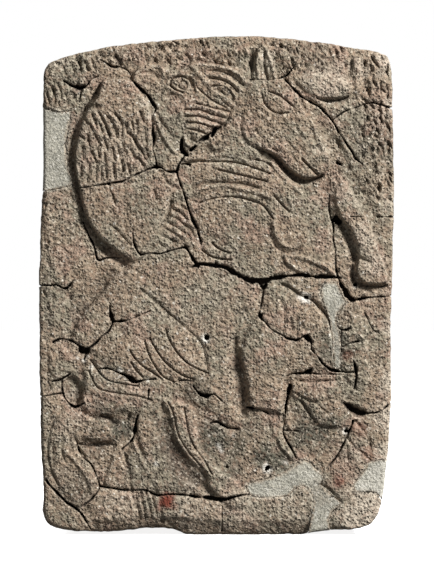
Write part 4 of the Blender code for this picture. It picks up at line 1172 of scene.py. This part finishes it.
def mask_surface(mesh, cracks, sizes):
    """Writes the masks that the stone's and the mortar's materials read."""
    places, _ = vertex_values(mesh)
    grid = to_grid(places)
    bend = bends(mesh)
    # Painted shade: the deeper a crack or hole, the darker its colour
    set_mask(mesh, "crack_shade", cracks / CRACK_SHADE_FULL)
    # Painted shade: the ground cut back beside the forms is darkened by how deep it is cut
    set_mask(mesh, "moat_shade", moat_depth(grid) / MOAT_SHADE_FULL)
    # Painted shade: vertices lying hollow among their neighbours are darkened, where shade gathers
    set_mask(mesh, "hollow", bend * BEND_GAIN)
    set_mask(mesh, "worn", -bend * BEND_GAIN)
    in_front = places[:, 1] < ground_plane(sizes) + STAIN_REACH
    ragged = 1 + lumpy(places, STAIN_LUMPS)
    for name, spots in STAINS.items():
        stain = np.zeros(len(places))
        for x, y, radius, strength in spots:
            distance = np.linalg.norm(grid - (x, y), axis=1) * ragged
            stain = np.maximum(stain, strength * ease(1.35 - distance / radius))
        if name == "stony":
            stain = np.maximum(stain, fill_edge(grid, 1.6 * ragged, 2.4))
        set_mask(mesh, name, stain * in_front)
    set_mask(mesh, "smear", 0.8 * fill_edge(grid, 1.2 * ragged, -3.0) * in_front)


def add_node(tree, kind, settings=None, links=None):
    """Adds a node, sets its properties and sockets, and links sockets to others' outputs."""
    node = tree.nodes.new(kind)
    for key, value in (settings or {}).items():
        if isinstance(key, str) and hasattr(node, key):
            setattr(node, key, value)
        else:
            node.inputs[key].default_value = value
    for key, output in (links or {}).items():
        tree.links.new(output, node.inputs[key])
    return node


def new_material(name):
    """An empty material with its output node, and the tree that holds it."""
    made = bpy.data.materials.new(name)
    made.use_nodes = True
    made.node_tree.nodes.clear()
    return made, made.node_tree


def layered(tree, colour, layers):
    """A colour with others laid over it in turn, each by the share that a node gives."""
    below = add_node(tree, "ShaderNodeRGB")
    below.outputs[0].default_value = tuple(colour)
    result = below.outputs[0]
    for share, over in layers:
        mix = add_node(tree, "ShaderNodeMix", {"data_type": "RGBA", MIX_SECOND: tuple(over)},
                       {MIX_SHARE: share, MIX_FIRST: result})
        result = mix.outputs[MIX_RESULT]
    return result


def noise(tree, place, lump, detail=2.0, roughness=0.5, distortion=0.0):
    """Noise with lumps of about a size in metres."""
    return add_node(tree, "ShaderNodeTexNoise", {
        "Scale": 1 / lump, "Detail": detail, "Roughness": roughness, "Distortion": distortion,
    }, {"Vector": place}).outputs["Fac"]


def cells(tree, place, width):
    """Grains of about a width in metres: a value for each, and the way to its middle as a share."""
    node = add_node(tree, "ShaderNodeTexVoronoi", {"Scale": 1 / width}, {"Vector": place})
    own = add_node(tree, "ShaderNodeSeparateColor", None, {"Color": node.outputs["Color"]}).outputs["Red"]
    return own, node.outputs["Distance"]


def ramp(tree, value, low, high, top=1.0):
    """A smooth share from 0 to top as a value goes from low to high."""
    return add_node(tree, "ShaderNodeMapRange", {
        "interpolation_type": "SMOOTHSTEP", "From Min": low, "From Max": high, "To Max": top,
    }, {"Value": value}).outputs["Result"]


def mask(tree, name, share=1.0):
    """One of the surface's own masks, times a share."""
    read = add_node(tree, "ShaderNodeAttribute", {"attribute_name": name}).outputs["Fac"]
    return add_node(tree, "ShaderNodeMath", {"operation": "MULTIPLY", 1: share}, {0: read}).outputs[0]


def basalt_material(colours):
    """Pecked and long-weathered vesicular basalt: dull, grainy, brown with grey and rosy areas and pits."""
    made, tree = new_material("weathered_basalt")
    place = add_node(tree, "ShaderNodeTexCoord").outputs["Object"]
    broad = noise(tree, place, BROAD_AREA, 3.0)
    rosy = noise(tree, place, ROSY_AREA, 2.0, 0.5, 0.4)
    blotches = noise(tree, place, BLOTCH, 2.0)
    lumps = noise(tree, place, LUMP, 2.0, 0.6)
    grains, _ = cells(tree, place, GRAIN)
    pit_kind, pit_way = cells(tree, place, PIT)
    pits = add_node(tree, "ShaderNodeMath", {"operation": "MULTIPLY"}, {
        0: ramp(tree, pit_way, 0.60, 0.15), 1: ramp(tree, pit_kind, 0.45, 0.75)}).outputs[0]
    colour = layered(tree, colours.brown, [
        (ramp(tree, broad, 0.42, 0.62), colours.grey),
        (ramp(tree, rosy, 0.52, 0.68, 0.8), colours.pink),
        (ramp(tree, blotches, 0.50, 0.30, 0.35), colours.dark),
        (mask(tree, "film", 0.92), colours.film),
        # Painted shade at the listed spots, partly darker staining
        (mask(tree, "shade_and_soil", 0.95), colours.dark),
        (mask(tree, "smear", 0.80), colours.mortar),
        # Pale spots: paler stone, partly a painted highlight on the right rim and lit ridges
        (mask(tree, "pale", 0.85), colours.light),
        (mask(tree, "worn", 0.45), colours.light),
        (ramp(tree, grains, 0.35, 0.0, 0.64), colours.dark),
        (ramp(tree, grains, 0.70, 1.0, 0.54), colours.light),
        (ramp(tree, grains, 0.992, 0.997, 0.45), colours.chalk),
        (ramp(tree, pit_kind, 0.30, 0.05, 0.26), colours.rust),
        (ramp(tree, pits, 0.0, 1.0, 0.60), colours.dark),
        (mask(tree, "pigment", 0.95), colours.red),
        (mask(tree, "chalk", 0.9), colours.chalk),
        # Painted shade in the moats beside the forms
        (mask(tree, "moat_shade", 0.25), colours.dark),
        # Painted shade in hollow bends
        (mask(tree, "hollow", 0.70), colours.painted_shade),
        # Painted shade in cracks and holes
        (mask(tree, "crack_shade", 0.94), colours.painted_shade),
    ])
    heights = blotches
    for part, share in ((lumps, 1.0), (pits, -0.5), (grains, 0.25)):
        heights = add_node(tree, "ShaderNodeMath", {"operation": "MULTIPLY_ADD", 1: share}, {
            0: part, 2: heights}).outputs[0]
    bump = add_node(tree, "ShaderNodeBump", {"Strength": 1.0, "Distance": BASALT_BUMP}, {"Height": heights})
    shader = add_node(tree, "ShaderNodeBsdfPrincipled", {"Roughness": 0.88, "Specular IOR Level": 0.2},
                      {"Base Color": colour, "Normal": bump.outputs["Normal"]})
    add_node(tree, "ShaderNodeOutputMaterial", None, {"Surface": shader.outputs["BSDF"]})
    return made


def mortar_material(colours):
    """Trowelled lime mortar: pale, dry and chalky, with fine dark sand that shows as specks."""
    made, tree = new_material("lime_mortar_fill")
    place = add_node(tree, "ShaderNodeTexCoord").outputs["Object"]
    cloudy = noise(tree, place, CLOUD, 3.0)
    sand = noise(tree, place, SAND_LUMP, 2.0, 0.6)
    specks, _ = cells(tree, place, SPECK)
    grit = add_node(tree, "ShaderNodeMath", {"operation": "MULTIPLY"}, {
        0: ramp(tree, specks, 0.45, 0.1), 1: mask(tree, "stony", 0.8)}).outputs[0]
    colour = layered(tree, colours.mortar, [
        (ramp(tree, cloudy, 0.45, 0.7, 0.5), colours.sand),
        (mask(tree, "film", 0.80), colours.sand),
        # Pale spots on the fills, partly a painted highlight
        (mask(tree, "pale", 0.45), colours.chalk),
        (mask(tree, "stony", 0.85), colours.brown),
        (ramp(tree, sand, 0.48, 0.34, 0.7), colours.sand),
        (ramp(tree, sand, 0.55, 0.7, 0.3), colours.light),
        (ramp(tree, specks, 0.30, 0.0, 0.80), colours.sand),
        (ramp(tree, specks, 0.80, 1.0, 0.40), colours.chalk),
        (grit, colours.dark),
    ])
    bump = add_node(tree, "ShaderNodeBump", {"Strength": 1.0, "Distance": MORTAR_BUMP}, {"Height": sand})
    shader = add_node(tree, "ShaderNodeBsdfPrincipled", {"Roughness": 0.92, "Specular IOR Level": 0.25},
                      {"Base Color": colour, "Normal": bump.outputs["Normal"]})
    add_node(tree, "ShaderNodeOutputMaterial", None, {"Surface": shader.outputs["BSDF"]})
    return made


def stage_material(colours):
    """Matt white studio paper."""
    made, tree = new_material("studio_paper")
    shader = add_node(tree, "ShaderNodeBsdfPrincipled", {
        "Base Color": tuple(colours.stage), "Roughness": 0.95,
        "Emission Color": (1, 1, 1, 1), "Emission Strength": 0.85})
    add_node(tree, "ShaderNodeOutputMaterial", None, {"Surface": shader.outputs["BSDF"]})
    return made


def add_piece(name, mesh, finish, node):
    """Puts a finished mesh into the scene in place of a CAD node."""
    mesh.materials.clear()
    mesh.materials.append(finish)
    mesh.shade_smooth()
    piece = bpy.data.objects.new(name, mesh)
    bpy.context.scene.collection.objects.link(piece)
    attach(piece, "root")
    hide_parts(node)
    return piece


class RELIEF_OT_stone(bpy.types.Operator):
    """Carve the basalt slab with its figures, cracks and pockets for the fills"""
    bl_idname = "relief.stone"
    bl_label = "Basalt slab"

    def execute(self, context):
        sizes, colours = context.scene.relief_sizes, context.scene.relief_colours
        block = slab_block("slab_block", sizes, True)
        pockets = [fill_prism(name, sizes, sizes.mortar_gap) for name in MORTAR_FILLS]
        mesh = cut(block, "DIFFERENCE", pockets)
        cracks = weather(mesh, sizes)
        mask_surface(mesh, cracks, sizes)
        add_piece("carved_slab", mesh, basalt_material(colours), "stone_slab")
        return {"FINISHED"}


class RELIEF_OT_fills(bpy.types.Operator):
    """Fill the lost places with lime mortar"""
    bl_idname = "relief.fills"
    bl_label = "Mortar fills"

    def execute(self, context):
        sizes, colours = context.scene.relief_sizes, context.scene.relief_colours
        finish = mortar_material(colours)
        block = slab_block("fill_block", sizes, False)
        for name in MORTAR_FILLS:
            mesh = cut(block.copy(), "INTERSECT", [fill_prism(name, sizes, 0.0)])
            weather(mesh, sizes, FILL_LEVELS[name])
            mask_surface(mesh, np.zeros(len(mesh.vertices)), sizes)
            add_piece(name.replace("mortar", "fill"), mesh, finish, name)
        return {"FINISHED"}


class RELIEF_OT_stage(bpy.types.Operator):
    """Set up the pale floor, the soft light and the camera"""
    bl_idname = "relief.stage"
    bl_label = "Stage, light and camera"

    def execute(self, context):
        colours = context.scene.relief_colours
        add_floor(stage_material(colours))
        add_lights(context.scene)
        add_camera(context.scene)
        return {"FINISHED"}


def add_floor(finish):
    """A wide level floor under the slab."""
    bm = bmesh.new()
    bmesh.ops.create_grid(bm, x_segments=1, y_segments=1, size=FLOOR_HALF)
    mesh = bpy.data.meshes.new("studio_floor")
    bm.to_mesh(mesh)
    bm.free()
    mesh.materials.append(finish)
    floor = bpy.data.objects.new("studio_floor", mesh)
    bpy.context.scene.collection.objects.link(floor)
    floor.visible_diffuse = False
    floor.visible_glossy = False


def aimed_light(name, place, target, size, power):
    """A square area light turned to a target."""
    light = bpy.data.lights.new(name, "AREA")
    light.size = size
    light.energy = power
    made = bpy.data.objects.new(name, light)
    made.location = place
    made.rotation_euler = (Vector(target) - Vector(place)).to_track_quat("-Z", "Y").to_euler()
    bpy.context.scene.collection.objects.link(made)


def add_lights(scene):
    """A raking key light from the upper right, a weak fill, one light for the back, and a white world."""
    middle = (CAD_LOW + CAD_HIGH) / 2
    side, height = math.radians(KEY_SIDE), math.radians(KEY_HEIGHT)
    away = Vector((math.cos(height) * math.sin(side), -math.sin(height), math.cos(height) * math.cos(side)))
    aimed_light("key_light", middle + away * KEY_DISTANCE, middle, KEY_SIZE, KEY_POWER)
    aimed_light("fill_light", middle + FILL_PLACE, middle, FILL_SIZE, FILL_POWER)
    aimed_light("back_light", middle + BACK_PLACE, middle, BACK_SIZE, BACK_POWER)
    world = bpy.data.worlds.new("studio_world")
    world.use_nodes = True
    tree = world.node_tree
    background = tree.nodes["Background"]
    background.inputs["Color"].default_value = (1, 1, 1, 1)
    # White where the camera sees it, much weaker as light
    seen = add_node(tree, "ShaderNodeLightPath").outputs["Is Camera Ray"]
    strength = add_node(tree, "ShaderNodeMapRange", {
        "To Min": WORLD_STRENGTH, "To Max": 1.0}, {"Value": seen})
    tree.links.new(strength.outputs["Result"], background.inputs["Strength"])
    scene.world = world


def add_camera(scene):
    """A long lens square on to the carved face, at the picture's scale and place."""
    data = bpy.data.cameras.new("camera")
    data.lens = LENS
    data.sensor_width = SENSOR
    data.clip_end = 100
    front = ground_plane(scene.relief_sizes)
    distance = PICTURE_HEIGHT * STEP_Z * LENS / SENSOR
    camera = bpy.data.objects.new("camera", data)
    camera.location = ((PICTURE_WIDTH / 2 - GRID_MIDDLE) * STEP_X, front - distance,
                       (FOOT_LINE - PICTURE_HEIGHT / 2) * STEP_Z)
    camera.rotation_euler = (math.pi / 2, 0, 0)
    scene.collection.objects.link(camera)
    scene.camera = camera
    scene.view_settings.view_transform = "Standard"


class RELIEF_PT_panel(bpy.types.Panel):
    """Sizes, colours and steps of the relief"""
    bl_label = "Relief"
    bl_idname = "RELIEF_PT_panel"
    bl_space_type = "VIEW_3D"
    bl_region_type = "UI"
    bl_category = "Relief"

    def draw(self, context):
        for group in (context.scene.relief_sizes, context.scene.relief_colours):
            for name in group.__annotations__:
                self.layout.prop(group, name)
        for step in (RELIEF_OT_stone, RELIEF_OT_fills, RELIEF_OT_stage):
            self.layout.operator(step.bl_idname)


CLASSES = (ReliefSizes, ReliefColours, RELIEF_OT_stone, RELIEF_OT_fills, RELIEF_OT_stage, RELIEF_PT_panel)


def register():
    """Makes the settings, the steps and the panel known to Blender."""
    for each in CLASSES:
        bpy.utils.register_class(each)
    bpy.types.Scene.relief_sizes = bpy.props.PointerProperty(type=ReliefSizes)
    bpy.types.Scene.relief_colours = bpy.props.PointerProperty(type=ReliefColours)


def unregister():
    """Takes them out again."""
    del bpy.types.Scene.relief_colours
    del bpy.types.Scene.relief_sizes
    for each in reversed(CLASSES):
        bpy.utils.unregister_class(each)


def main():
    """Builds the relief and its stage."""
    register()
    bpy.ops.relief.stone()
    bpy.ops.relief.fills()
    bpy.ops.relief.stage()


if __name__ == "__main__":
    main()
